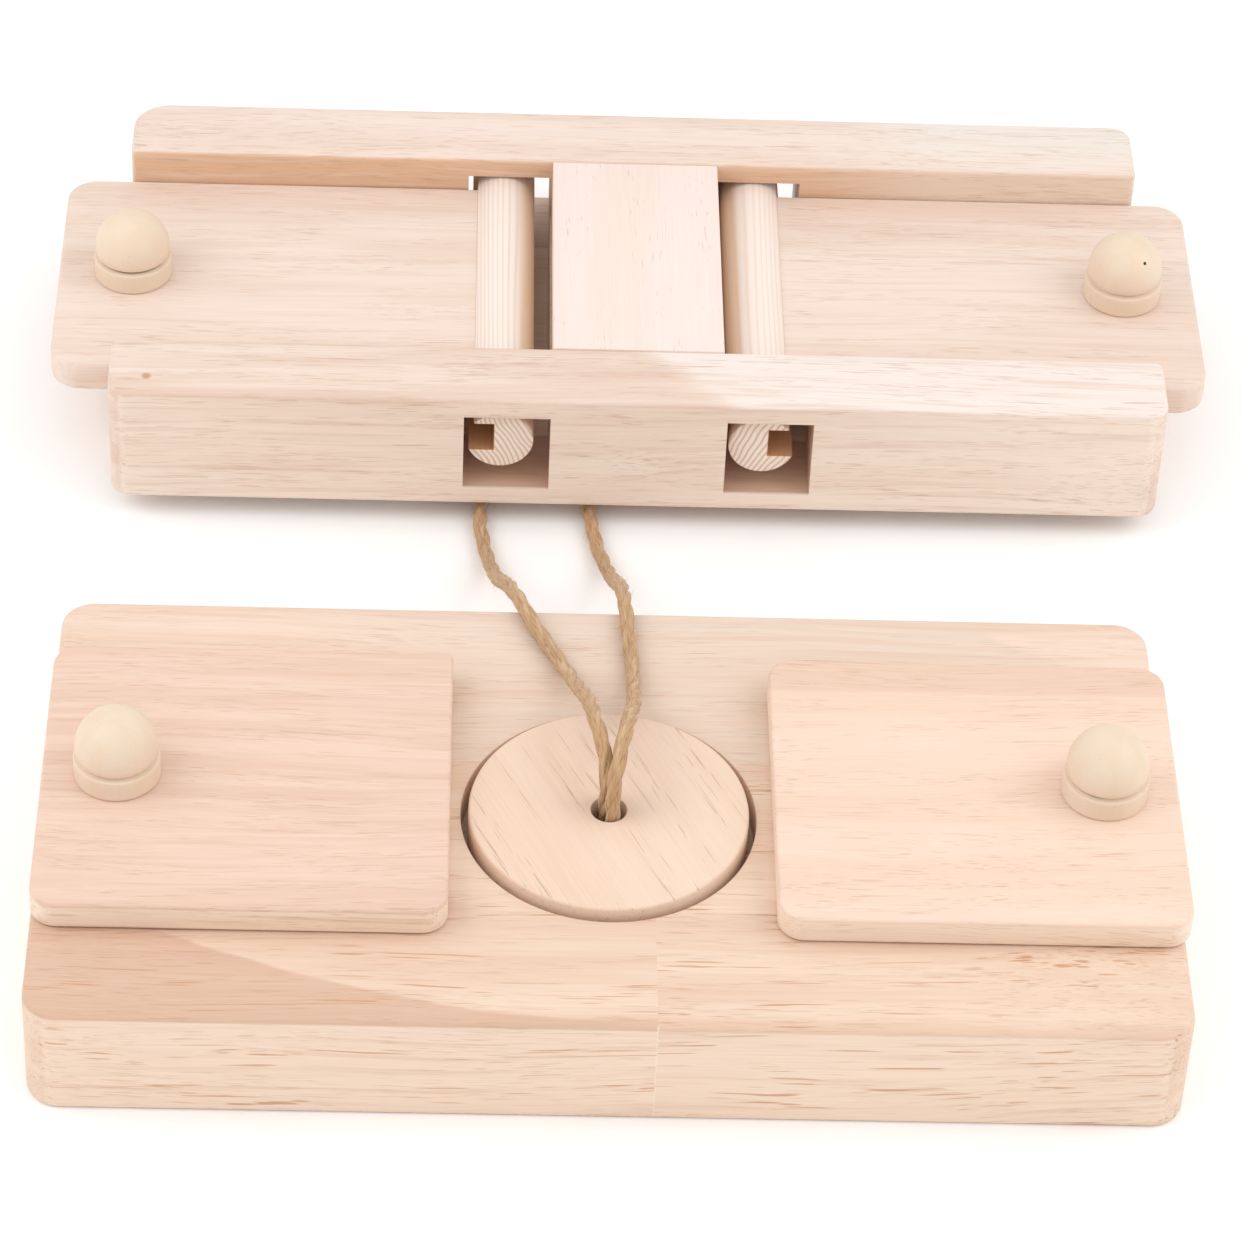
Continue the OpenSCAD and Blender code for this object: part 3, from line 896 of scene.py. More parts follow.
@dataclass
class RopeLoop:
    """One loop of three-ply jute: both ends go through the plug to a knot under it."""

    diameter: float = 4.4 * MM
    length: float = 0.458
    plies: int = 3
    lay: float = 27.0 * MM
    ply_share: float = 0.315
    swell: float = 0.035
    ply_sides: int = 10
    rings_per_turn: int = 26
    swell_length: float = 0.0037
    swell_shift: float = 2.1
    strip_width: float = 7.6
    strip_step: float = 31.0
    fibres: int = 260
    fibre_seed: int = 7
    fibre_length: tuple[float, float] = (2.0, 5.0)
    fibre_lift: tuple[float, float] = (0.3, 1.5)
    fibre_radius: tuple[float, float] = (0.035, 0.06)
    fibre_root: float = 0.46
    fibre_rings: int = 5
    bare_start: int = 24
    bare_end: int = 40
    knot_steps: int = 150
    route: tuple[tuple[float, float, float], ...] = (
        (-8.9, -107.9, 24), (-8.9, -107.9, 35.5), (-8.9, -107.9, 46), (-10, -103, 52.6),
        (-12.2, -94, 54.2), (-13.8, -82.5, 50.2), (-15.6, -71.5, 43.6), (-18.4, -60, 38.4),
        (-22.8, -48.5, 36.4), (-28, -37.5, 36.4), (-31.8, -28, 36.4), (-34.6, -18.5, 33),
        (-36.2, -9, 26.4), (-37.2, 1, 18.2), (-38.3, 11, 10.8), (-39.8, 22, 5),
        (-41.8, 33.5, 2.4), (-43.2, 46, 2.3), (-41.6, 57.8, 2.3), (-33, 66, 2.3),
        (-21, 66, 2.3), (-12.6, 57.8, 2.3), (-10.8, 46, 2.3), (-8.8, 33.5, 2.4),
        (-6.4, 22, 5), (-5, 11, 10.8), (-4.2, 1, 18.2), (-3.9, -9, 26.4),
        (-3.4, -18.5, 33), (-2.8, -28, 36.4), (-1.9, -40, 36.4), (-1.1, -52, 36.4),
        (-0.9, -64, 38.2), (-1.2, -75.5, 43.2), (-2.2, -86.5, 49.8), (-4, -98, 54.2),
        (-5.8, -107.4, 52.6), (-7.1, -112.1, 46), (-7.1, -112.1, 35.5), (-7.1, -112.1, 24),
    )

    def points(self) -> list[Vector]:
        """The route's own points in metres."""
        return [Vector(p) * MM for p in self.route]

    def curve(self, controls: Sequence[Vector], spacing: float) -> list[Vector]:
        """A smooth line through points.

        Args:
            controls: The points that it passes.
            spacing: The distance between the line's own points.

        Returns:
            Evenly spaced points of a Catmull-Rom curve.
        """
        fine: list[Vector] = []
        last = len(controls) - 1
        steps = 24
        for i in range(last):
            a, b = controls[max(i - 1, 0)], controls[i]
            c, d = controls[i + 1], controls[min(i + 2, last)]
            for k in range(steps):
                t = k / steps
                fine.append(0.5 * (2 * b + (c - a) * t + (2 * a - 5 * b + 4 * c - d) * t * t
                                   + (3 * b - a - 3 * c + d) * t ** 3))
        fine.append(controls[last].copy())
        run = [0.0]
        for a, b in zip(fine, fine[1:]):
            run.append(run[-1] + (b - a).length)
        count = max(2, round(run[-1] / spacing))
        even, i = [], 0
        for k in range(count + 1):
            want = run[-1] * k / count
            while i < len(run) - 2 and run[i + 1] < want:
                i += 1
            share = (want - run[i]) / max(run[i + 1] - run[i], 1e-12)
            even.append(fine[i].lerp(fine[i + 1], min(share, 1.0)))
        return even

    def axes(self, line: Sequence[Vector]) -> list[tuple[Vector, Vector, Vector]]:
        """Heading and two side directions at each point, carried along without twist.

        Args:
            line: The line's points.

        Returns:
            One triple for each point.
        """
        found: list[tuple[Vector, Vector, Vector]] = []
        side = Vector((1, 0, 0))
        for i in range(len(line)):
            heading = (line[min(i + 1, len(line) - 1)] - line[max(i - 1, 0)]).normalized()
            side = side - heading * side.dot(heading)
            if side.length < 1e-4:
                side = heading.orthogonal()
            side.normalize()
            found.append((heading, side.copy(), heading.cross(side)))
        return found

    def ply_mesh(self, name: str, line: Sequence[Vector], plies: int, diameter: float) -> Piece:
        """Twists plies round a line.

        Args:
            name: The piece's name.
            line: The rope's centreline.
            plies: How many plies.
            diameter: The rope's outer diameter.

        Returns:
            A closed tube for each ply, in one mesh with a UV map in millimetres.
        """
        ply_radius = self.ply_share * diameter
        offset = diameter / 2 - ply_radius
        axes = self.axes(line)
        corners: list[Vector] = []
        faces: list[tuple[int, ...]] = []
        places: list[tuple[float, float]] = []
        n = self.ply_sides
        travelled = [0.0]
        for a, b in zip(line, line[1:]):
            travelled.append(travelled[-1] + (b - a).length)
        for ply in range(plies):
            first = len(corners)
            for i, (point, (_, side, up)) in enumerate(zip(line, axes)):
                angle = 2 * math.pi * (travelled[i] / self.lay + ply / plies)
                swell = 1.0 - self.swell + self.swell * math.sin(
                    travelled[i] / self.swell_length + self.swell_shift * ply)
                middle = point + offset * (math.cos(angle) * side + math.sin(angle) * up)
                for k in range(n):
                    turn = angle + 2 * math.pi * k / n
                    reach = ply_radius * swell
                    corners.append(middle + reach * (math.cos(turn) * side + math.sin(turn) * up))
            for i in range(len(line) - 1):
                for k in range(n):
                    a, b = first + i * n + k, first + i * n + (k + 1) % n
                    faces.append((a, b, b + n, a + n))
                    low, high = travelled[i] / MM, travelled[i + 1] / MM
                    left = self.strip_width * k / n + self.strip_step * ply
                    right = self.strip_width * (k + 1) / n + self.strip_step * ply
                    places += [(low, left), (low, right), (high, right), (high, left)]
            end = first + (len(line) - 1) * n
            faces.append(tuple(range(first + n - 1, first - 1, -1)))
            faces.append(tuple(range(end, end + n)))
            places += [(0.0, self.strip_step * ply)] * (2 * n)
        mesh = bpy.data.meshes.new(name)
        mesh.from_pydata(corners, [], faces)
        mesh.uv_layers.new(name="ply").data.foreach_set("uv", [c for place in places for c in place])
        piece = bpy.data.objects.new(name, mesh)
        bpy.context.scene.collection.objects.link(piece)
        smooth(piece, 60.0)
        return piece

    def hair_mesh(self, name: str, line: Sequence[Vector]) -> Piece:
        """Stray fibres that stand off the rope.

        Args:
            name: The piece's name.
            line: The rope's centreline.

        Returns:
            Thin three-sided hairs in one mesh.
        """
        dice = random.Random(self.fibre_seed)
        axes = self.axes(line)
        corners: list[Vector] = []
        faces: list[tuple[int, ...]] = []
        for _ in range(self.fibres):
            i = dice.randrange(self.bare_start, len(line) - self.bare_end)
            heading, side, up = axes[i]
            angle = dice.uniform(0, 2 * math.pi)
            out = math.cos(angle) * side + math.sin(angle) * up
            forward = heading * dice.choice((-1, 1))
            sideways = out.cross(heading) * dice.uniform(-0.7, 0.7)
            drift = (forward + sideways).normalized()
            long = dice.uniform(*self.fibre_length) * MM
            lift = dice.uniform(*self.fibre_lift) * MM
            thick = dice.uniform(*self.fibre_radius) * MM
            first = len(corners)
            steps = self.fibre_rings
            for s in range(steps):
                t = s / (steps - 1)
                height = self.fibre_root * self.diameter + lift * t * (1.4 - 0.4 * t)
                middle = line[i] + out * height + drift * long * t
                middle.z = max(middle.z, 0.12 * MM)
                for k in range(3):
                    turn = 2 * math.pi * k / 3
                    spoke = math.cos(turn) * out + math.sin(turn) * out.cross(drift)
                    corners.append(middle + thick * (1 - 0.6 * t) * spoke)
            for s in range(steps - 1):
                for k in range(3):
                    a, b = first + 3 * s + k, first + 3 * s + (k + 1) % 3
                    faces.append((a, a + 3, b + 3, b))
            faces.append((first, first + 1, first + 2))
            tip = first + 3 * (steps - 1)
            faces.append((tip + 2, tip + 1, tip))
        mesh = bpy.data.meshes.new(name)
        mesh.from_pydata(corners, [], faces)
        piece = bpy.data.objects.new(name, mesh)
        bpy.context.scene.collection.objects.link(piece)
        make_active(piece)
        bpy.ops.object.mode_set(mode="EDIT")
        bpy.ops.mesh.select_all(action="SELECT")
        bpy.ops.mesh.normals_make_consistent(inside=False)
        bpy.ops.object.mode_set(mode="OBJECT")
        return piece

    def knot_line(self) -> list[Vector]:
        """The centreline of the knot: a trefoil that fills the knot's space."""
        space = Space.of_node("rope_knot")
        centre, size = space.centre, space.size
        flat = (size.x - self.diameter) / 2 / 3.0
        tall = (size.z - self.diameter) / 2
        line = []
        for i in range(self.knot_steps + 1):
            t = 2 * math.pi * i / self.knot_steps
            line.append(centre + Vector((
                flat * (math.sin(t) + 2 * math.sin(2 * t)),
                flat * (math.cos(t) - 2 * math.cos(2 * t)),
                -tall * math.sin(3 * t),
            )))
        return line

    def build(self, jute: Material, hair: Material) -> list[Piece]:
        """Makes the rope, its stray fibres and its knot.

        Args:
            jute: The plies' material.
            hair: The stray fibres' material.

        Returns:
            The pieces.
        """
        line = self.curve(self.points(), self.lay / self.rings_per_turn)
        rope = self.ply_mesh("jute_loop", line, self.plies, self.diameter)
        hairs = self.hair_mesh("jute_fibres", line)
        knot = self.ply_mesh("jute_knot", self.knot_line(), self.plies, self.diameter)
        dress(rope, jute)
        dress(hairs, hair)
        dress(knot, jute)
        plug = Space.of_node("plug")
        base = Space.of_node("base_rear_stave")
        start = Vector((plug.centre.x, base.high.y, 0.0))
        end = Vector((plug.centre.x, plug.centre.y + 15 * MM, 0.0))
        for piece in (rope, hairs):
            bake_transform(piece)
        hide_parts("rope_loop")
        stand_in(knot, "rope_knot", "lifting_plug")
        return [rope, hairs, knot]


# ---------------------------------------------------------------- knobs and fasteners


@dataclass
class KnobSet:
    """Four turned knobs of one shape: collar, groove and dome."""

    places: dict[str, str] = field(default_factory=lambda: {
        "left_slide_knob": "left_slide", "right_slide_knob": "right_slide",
        "left_flip_knob": "left_flip", "right_flip_knob": "right_flip",
    })
    sides: int = 72
    collar_height: float = 6.6 * MM
    groove_height: float = 1.2 * MM
    groove_depth: float = 1.3 * MM
    dome_foot: float = 9.8 * MM
    round_over: float = 0.5 * MM
    dome_radius: float = 11.0 * MM
    groove_line: tuple[tuple[float, float], ...] = ((0.25, 0.35), (0.5, 0.0), (0.7, 0.5))
    brim_inset: float = 0.3 * MM
    dome_inset: float = 0.05 * MM
    dome_rise: float = 0.35 * MM
    round_steps: int = 3
    dome_steps: int = 16
    dome_end: float = 87.5

    def profile(self, collar_radius: float) -> list[tuple[float, float]]:
        """The turned outline.

        Args:
            collar_radius: The collar's radius.

        Returns:
            Radius and height of each ring, from the foot up.
        """
        top = self.collar_height
        brim = top + self.groove_height
        rings = [(collar_radius - self.round_over, 0.0), (collar_radius, self.round_over)]
        rings += [(collar_radius, top * s) for s in (0.35, 0.7)]
        for step in range(self.round_steps + 1):
            angle = math.radians(90 * step / self.round_steps)
            rings.append((
                collar_radius - self.round_over * (1 - math.cos(angle)),
                top - self.round_over * (1 - math.sin(angle)),
            ))
        waist = self.dome_radius - self.groove_depth
        rings += [(waist + out * MM, top + share * self.groove_height) for share, out in self.groove_line]
        rings.append((self.dome_radius - self.brim_inset, brim))
        rings.append((self.dome_radius - self.dome_inset, brim + self.dome_rise))
        for step in range(self.dome_steps + 1):
            angle = math.radians(self.dome_end * step / self.dome_steps)
            height = self.dome_foot + self.dome_radius * math.sin(angle)
            rings.append((self.dome_radius * math.cos(angle), height))
        return rings

    def turn_one(self, name: str) -> Piece:
        """Turns one knob in the place of its CAD node.

        Args:
            name: The node's name.

        Returns:
            The knob.
        """
        space = Space.of_node(name)
        foot = Vector((space.centre.x, space.centre.y, space.low.z))
        rings = self.profile(space.size.x / 2)
        deselect_all()
        bpy.ops.mesh.primitive_circle_add(
            vertices=self.sides, radius=rings[0][0], fill_type="NGON", location=foot
        )
        knob = settle(bpy.context.object, name + "_turned")
        bpy.ops.object.mode_set(mode="EDIT")
        bpy.ops.mesh.select_all(action="SELECT")
        for (radius, height), (next_radius, next_height) in zip(rings, rings[1:]):
            rise = (0, 0, next_height - height)
            bpy.ops.mesh.extrude_region_move(TRANSFORM_OT_translate={"value": rise})
            share = next_radius / radius
            centre = foot + Vector((0, 0, next_height))
            bpy.ops.transform.resize(value=(share, share, 1.0), center_override=centre)
        bpy.ops.mesh.merge(type="CENTER")
        bpy.ops.mesh.select_all(action="SELECT")
        bpy.ops.mesh.remove_doubles(threshold=1e-6)
        bpy.ops.mesh.normals_make_consistent(inside=False)
        bpy.ops.object.mode_set(mode="OBJECT")
        smooth(knob, 38.0)
        return knob

    def build(self, finishes: dict[str, Material]) -> list[Piece]:
        """Makes all four knobs.

        Args:
            finishes: A material for each node.

        Returns:
            The knobs.
        """
        names = list(self.places)
        first = self.turn_one(names[0])
        origin = Space.of_node(names[0]).centre
        made = [first]
        for name in names[1:]:
            made.append(copy_piece(first, name + "_turned", Space.of_node(name).centre - origin))
        for name, knob in zip(names, made):
            dress(knob, finishes[name])
            stand_in(knob, name, self.places[name])
        return made


@dataclass
class Fasteners:
    """The CAD nodes that are carried over as they are: screws, pins and runners."""

    steel_nodes: tuple[str, ...] = (
        "left_runner_screws", "right_runner_screws", "left_slide_knob_screw", "right_slide_knob_screw",
        "centre_block_screws", "left_flip_knob_screw", "right_flip_knob_screw",
    )
    wood_nodes: tuple[str, ...] = (
        "left_lid_runners", "right_lid_runners", "front_rail_pins", "rear_rail_pins",
    )

    def build(self, steel: Material, wood: Material) -> None:
        """Dresses the nodes.

        Args:
            steel: The screws' material.
            wood: The material of pins and runners.
        """
        for names, material in ((self.steel_nodes, steel), (self.wood_nodes, wood)):
            for name in names:
                dress(frame["nodes"][name], material)


@dataclass
class ScrewHoles:
    """Countersunk holes for the screws that hold knobs and the centre block."""

    head_radius: float = 3.6 * MM
    shank_radius: float = 1.85 * MM
    cone: float = 3.5 * MM

    def under(self, centre: Vector, bottom: float, length: float) -> Piece:
        """A cutter for one hole.

        Args:
            centre: A point on the hole's axis.
            bottom: Height of the face that the hole opens in.
            length: The hole's length.

        Returns:
            The cutter.
        """
        mouth = Vector((centre.x, centre.y, bottom))
        return countersink("hole", mouth, self.head_radius, self.shank_radius, self.cone, length)


# ---------------------------------------------------------------- front board


@dataclass
class FrontBoard:
    """The base, glued up from three staves, with its pocket, wells and runner slots."""

    corner_radius: float = 9.0 * MM
    edge: float = 1.5 * MM
    rim: float = 0.4 * MM
    pocket_gap: float = 2.0 * MM
    well_floor: float = 10.0 * MM
    plug_well_radius: float = 29.0 * MM
    lid_well_radius: float = 28.0 * MM
    lid_well_depth: float = 22.0 * MM
    lid_well_inset: float = 46.0 * MM
    slot_width: float = 7.0 * MM
    channel_width: float = 14.0 * MM
    channel_depth: float = 24.0 * MM
    slot_end_gap: float = 2.0 * MM
    right_lid_out: float = 1.5 * MM
    travel: float = 54.0 * MM
    foot_play: float = 0.8 * MM
    over: float = 2.0 * MM

    def space(self) -> Space:
        """The whole board's space."""
        names = ("base_front_left_stave", "base_front_right_stave", "base_rear_stave")
        staves = [Space.of_node(name) for name in names]
        low = Vector([min(s.low[i] for s in staves) for i in range(3)])
        high = Vector([max(s.high[i] for s in staves) for i in range(3)])
        return Space(low, high)

    def hollows(self, board: Space) -> list[Piece]:
        """Cutters for the pocket, the wells and the runner slots.

        Args:
            board: The board's space.

        Returns:
            The cutters.
        """
        plug = Space.of_node("plug")
        top = board.high.z + self.over
        pocket = rod("pocket", Vector((plug.centre.x, plug.centre.y, plug.low.z)),
                     plug.size.x / 2 + self.pocket_gap, top - plug.low.z, sides=128)
        well = rod("well", Vector((plug.centre.x, plug.centre.y, self.well_floor)),
                   self.plug_well_radius, top - self.well_floor)
        cutters = [pocket, well]
        for side, lid_name, runner_name in ((-1, "left_slide_lid", "left_lid_runners"),
                                            (1, "right_slide_lid", "right_lid_runners")):
            lid = Space.of_node(lid_name)
            inner = lid.high.x if side < 0 else lid.low.x
            shift = self.right_lid_out if side > 0 else 0.0
            x = inner - shift + side * self.lid_well_inset
            floor = board.high.z - self.lid_well_depth
            middle = Vector((x, lid.centre.y, floor))
            cutters.append(rod("well", middle, self.lid_well_radius, top - floor))
            runner = Space.of_node(runner_name)
            foot = (self.channel_width - self.foot_play) / 2
            reach = (runner.low.x - self.slot_end_gap - (self.travel if side < 0 else 0.0),
                     runner.high.x + self.slot_end_gap + (self.travel if side > 0 else 0.0))
            for y in (runner.low.y + foot, runner.high.y - foot):
                for width, low, high in ((self.slot_width, -self.over, top),
                                         (self.channel_width, -self.over, self.channel_depth)):
                    cutters.append(block("slot", Space(
                        Vector((reach[0], y - width / 2, low)), Vector((reach[1], y + width / 2, high)))))
        return cutters

    def build(self, finishes: dict[str, Material]) -> list[Piece]:
        """Makes the three staves.

        Args:
            finishes: A material for each stave's node.

        Returns:
            The staves.
        """
        board = self.space()
        whole = block("base", board)
        round_uprights(whole, [self.corner_radius] * 4)
        ease(whole, self.edge)
        cut(whole, self.hollows(board))
        ease(whole, self.rim, 2)
        seam = Space.of_node("base_rear_stave").low
        joint = Space.of_node("base_front_right_stave").low
        planes = {
            "base_front_left_stave": ((seam, Vector((0, 1, 0))), (joint, Vector((1, 0, 0)))),
            "base_front_right_stave": ((seam, Vector((0, 1, 0))), (joint, Vector((-1, 0, 0)))),
            "base_rear_stave": ((seam, Vector((0, -1, 0))),),
        }
        made = []
        for node, cuts in planes.items():
            stave = copy_piece(whole, node + "_wood", Vector((0, 0, 0)))
            for point, normal in cuts:
                keep_side(stave, point, normal)
            smooth(stave)
            dress(stave, finishes[node])
            made.append(stand_in(stave, node, "front_board"))
        bpy.data.objects.remove(whole, do_unlink=True)
        return made


@dataclass
class SlideLids:
    """The two sliding lids of the front board."""

    corner_radius: float = 7.0 * MM
    sharp_radius: float = 2.0 * MM
    edge: float = 1.0 * MM

    def build_one(self, node: str, body: str, radii: Sequence[float], finish: Material) -> Piece:
        """Makes one lid.

        Args:
            node: The CAD node that it replaces.
            body: The body that it rides on.
            radii: Corner radii at front left, front right, rear right and rear left.
            finish: Its material.

        Returns:
            The lid.
        """
        space = Space.of_node(node)
        lid = block(node + "_wood", space)
        round_uprights(lid, radii)
        ease(lid, self.edge)
        screw = Space.of_node(node.replace("_lid", "_knob_screw"))
        cut(lid, [ScrewHoles().under(screw.centre, space.low.z, 2 * space.size.z)])
        smooth(lid)
        dress(lid, finish)
        return stand_in(lid, node, body)

    def build(self, finishes: dict[str, Material]) -> list[Piece]:
        """Makes both lids and returns them.

        Args:
            finishes: A material for each lid's node.
        """
        r, sharp = self.corner_radius, self.sharp_radius
        left, right = "left_slide_lid", "right_slide_lid"
        return [
            self.build_one(left, "left_slide", [r, r, sharp, r], finishes[left]),
            self.build_one(right, "right_slide", [r, r, r, r], finishes[right]),
        ]


@dataclass
class Plug:
    """The round plug with its rope bore."""

    edge: float = 0.8 * MM
    rim: float = 0.3 * MM
    bore_radius: float = 4.8 * MM
    over: float = 1.0 * MM

    def build(self, finish: Material) -> Piece:
        """Makes the plug.

        Args:
            finish: Its material.

        Returns:
            The plug.
        """
        space = Space.of_node("plug")
        foot = Vector((space.centre.x, space.centre.y, space.low.z))
        plug = rod("plug_wood", foot, space.size.x / 2, space.size.z, sides=128)
        ease(plug, self.edge)
        below = foot - Vector((0, 0, self.over))
        cut(plug, [rod("bore", below, self.bore_radius, space.size.z + 2 * self.over, sides=48)])
        ease(plug, self.rim, 2)
        smooth(plug)
        dress(plug, finish)
        return stand_in(plug, "plug", "lifting_plug")


# ---------------------------------------------------------------- rear board


@dataclass
class RearBoard:
    """Two windowed rails, the floor board between them, and the centre block and plate."""

    corner_radius: float = 6.0 * MM
    big_corner_radius: float = 11.0 * MM
    inner_radius: float = 2.0 * MM
    edge: float = 1.3 * MM
    rim: float = 0.4 * MM
    window_x: float = 38.0 * MM
    window_width: float = 25.0 * MM
    window_height: float = 26.5 * MM
    sill: float = 13.3 * MM
    well_radius: float = 28.0 * MM
    well_depth: float = 18.0 * MM
    well_x: float = 100.0 * MM
    over: float = 2.0 * MM

    def middle(self) -> float:
        """X of the board's middle."""
        return Space.of_node("front_rail").centre.x

    def rail(self, node: str, radii: Sequence[float], finish: Material) -> Piece:
        """Makes one rail.

        Args:
            node: The CAD node that it replaces.
            radii: Corner radii at front left, front right, rear right and rear left.
            finish: Its material.

        Returns:
            The rail.
        """
        space = Space.of_node(node)
        rail = block(node + "_wood", space)
        round_uprights(rail, radii)
        windows = []
        for side in (-1, 1):
            x = self.middle() + side * self.window_x
            half = self.window_width / 2
            low = Vector((x - half, space.low.y - self.over, self.sill))
            high = Vector((x + half, space.high.y + self.over, self.sill + self.window_height))
            windows.append(block("window", Space(low, high)))
        ease(rail, self.edge)
        cut(rail, windows)
        smooth(rail)
        dress(rail, finish)
        return stand_in(rail, node, "rear_board")

    def floor_board(self, finish: Material) -> Piece:
        """Makes the floor board with its wells and dowel trenches.

        Args:
            finish: Its material.

        Returns:
            The floor board.
        """
        space = Space.of_node("floor_board")
        board = block("floor_board_wood", space)
        cutters = []
        for side in (-1, 1):
            x = self.middle() + side * self.window_x
            cutters.append(block("trench", Space(
                Vector((x - self.window_width / 2, space.low.y - self.over, self.sill)),
                Vector((x + self.window_width / 2, space.high.y + self.over, space.high.z + self.over)))))
            floor = space.high.z - self.well_depth
            place = Vector((self.middle() + side * self.well_x, space.centre.y, floor))
            cutters.append(rod("well", place, self.well_radius, self.well_depth + self.over))
        screws = Space.of_node("centre_block_screws")
        half = screws.size.x / 2
        for y in (screws.low.y + half, screws.high.y - half):
            place = Vector((screws.centre.x, y, 0))
            cutters.append(ScrewHoles().under(place, space.low.z, 2 * space.size.z))
        cut(board, cutters)
        ease(board, self.rim, 2)
        smooth(board)
        dress(board, finish)
        return stand_in(board, "floor_board", "rear_board")

    def centre(self, node: str, edge: float, slot: str, finish: Material) -> Piece:
        """Makes the centre block or the centre plate.

        Args:
            node: The CAD node that it replaces.
            edge: Width of its eased edges.
            slot: The record's material slot. Not used.
            finish: Its material.

        Returns:
            The piece.
        """
        piece = block(node + "_wood", Space.of_node(node))
        ease(piece, edge, 2)
        smooth(piece)
        dress(piece, finish)
        return stand_in(piece, node, "rear_board")

    def build(self, finishes: dict[str, Material]) -> list[Piece]:
        """Makes the rear board's fixed pieces and returns them.

        Args:
            finishes: A material for each node.
        """
        r, inner = self.corner_radius, self.inner_radius
        return [
            self.rail("front_rail", [r, r, inner, inner], finishes["front_rail"]),
            self.rail("rear_rail", [inner, inner, r, self.big_corner_radius], finishes["rear_rail"]),
            self.floor_board(finishes["floor_board"]),
            self.centre("centre_block", 0.4 * MM, "board_wood", finishes["centre_block"]),
            self.centre("centre_plate", 0.5 * MM, "plate_wood", finishes["centre_plate"]),
        ]


@dataclass
class FlipLids:
    """The two flip lids and the notched dowels that they turn on."""

    corner_radius: float = 9.0 * MM
    inner_radius: float = 1.0 * MM
    edge: float = 1.0 * MM
    dowel_diameter: float = 19.5 * MM
    dowel_edge: float = 0.5 * MM
    over: float = 2.0 * MM

    def lid(self, side: str, finish: Material) -> Piece:
        """Makes one lid.

        Args:
            side: "left" or "right".
            finish: Its material.

        Returns:
            The lid.
        """
        node = side + "_flip_lid"
        space = Space.of_node(node)
        lid = block(node + "_wood", space)
        r, inner = self.corner_radius, self.inner_radius
        round_uprights(lid, [r, inner, inner, r] if side == "left" else [inner, r, r, inner])
        ease(lid, self.edge)
        screw = Space.of_node(side + "_flip_knob_screw")
        cut(lid, [ScrewHoles().under(screw.centre, space.low.z, 2 * space.size.z)])
        smooth(lid)
        dress(lid, finish)
        return stand_in(lid, node, side + "_flip")

    def dowel(self, side: str, finish: Material) -> Piece:
        """Makes one dowel with the notch that holds its lid.

        Args:
            side: "left" or "right".
            finish: Its material.

        Returns:
            The dowel.
        """
        node = side + "_pivot_dowel"
        space = Space.of_node(node)
        lid = Space.of_node(side + "_flip_lid")
        joint = next(j for j in frame["joints"] if j["name"] == side + "_lid_flip")
        axis = Vector(joint["pos_m"])
        radius = self.dowel_diameter / 2
        dowel = rod(node + "_wood", Vector((axis.x, space.low.y, axis.z)), radius, space.size.y, "Y", 96)
        ease(dowel, self.dowel_edge, 2)
        if side == "left":
            inner, outer = lid.high.x, axis.x - 2 * radius
        else:
            inner, outer = lid.low.x, axis.x + 2 * radius
        low = Vector((min(inner, outer), space.low.y - self.over, lid.low.z))
        high = Vector((max(inner, outer), space.high.y + self.over, lid.high.z))
        cut(dowel, [block("notch", Space(low, high))])
        smooth(dowel)
        dress(dowel, finish)
        return stand_in(dowel, node, side + "_flip")

    def build(self, finishes: dict[str, Material]) -> list[Piece]:
        """Makes both lids and both dowels and returns them.

        Args:
            finishes: A material for each node.
        """
        made = []
        for side in ("left", "right"):
            made.append(self.lid(side, finishes[side + "_flip_lid"]))
            made.append(self.dowel(side, finishes[side + "_pivot_dowel"]))
        return made


# ---------------------------------------------------------------- finishes of this set


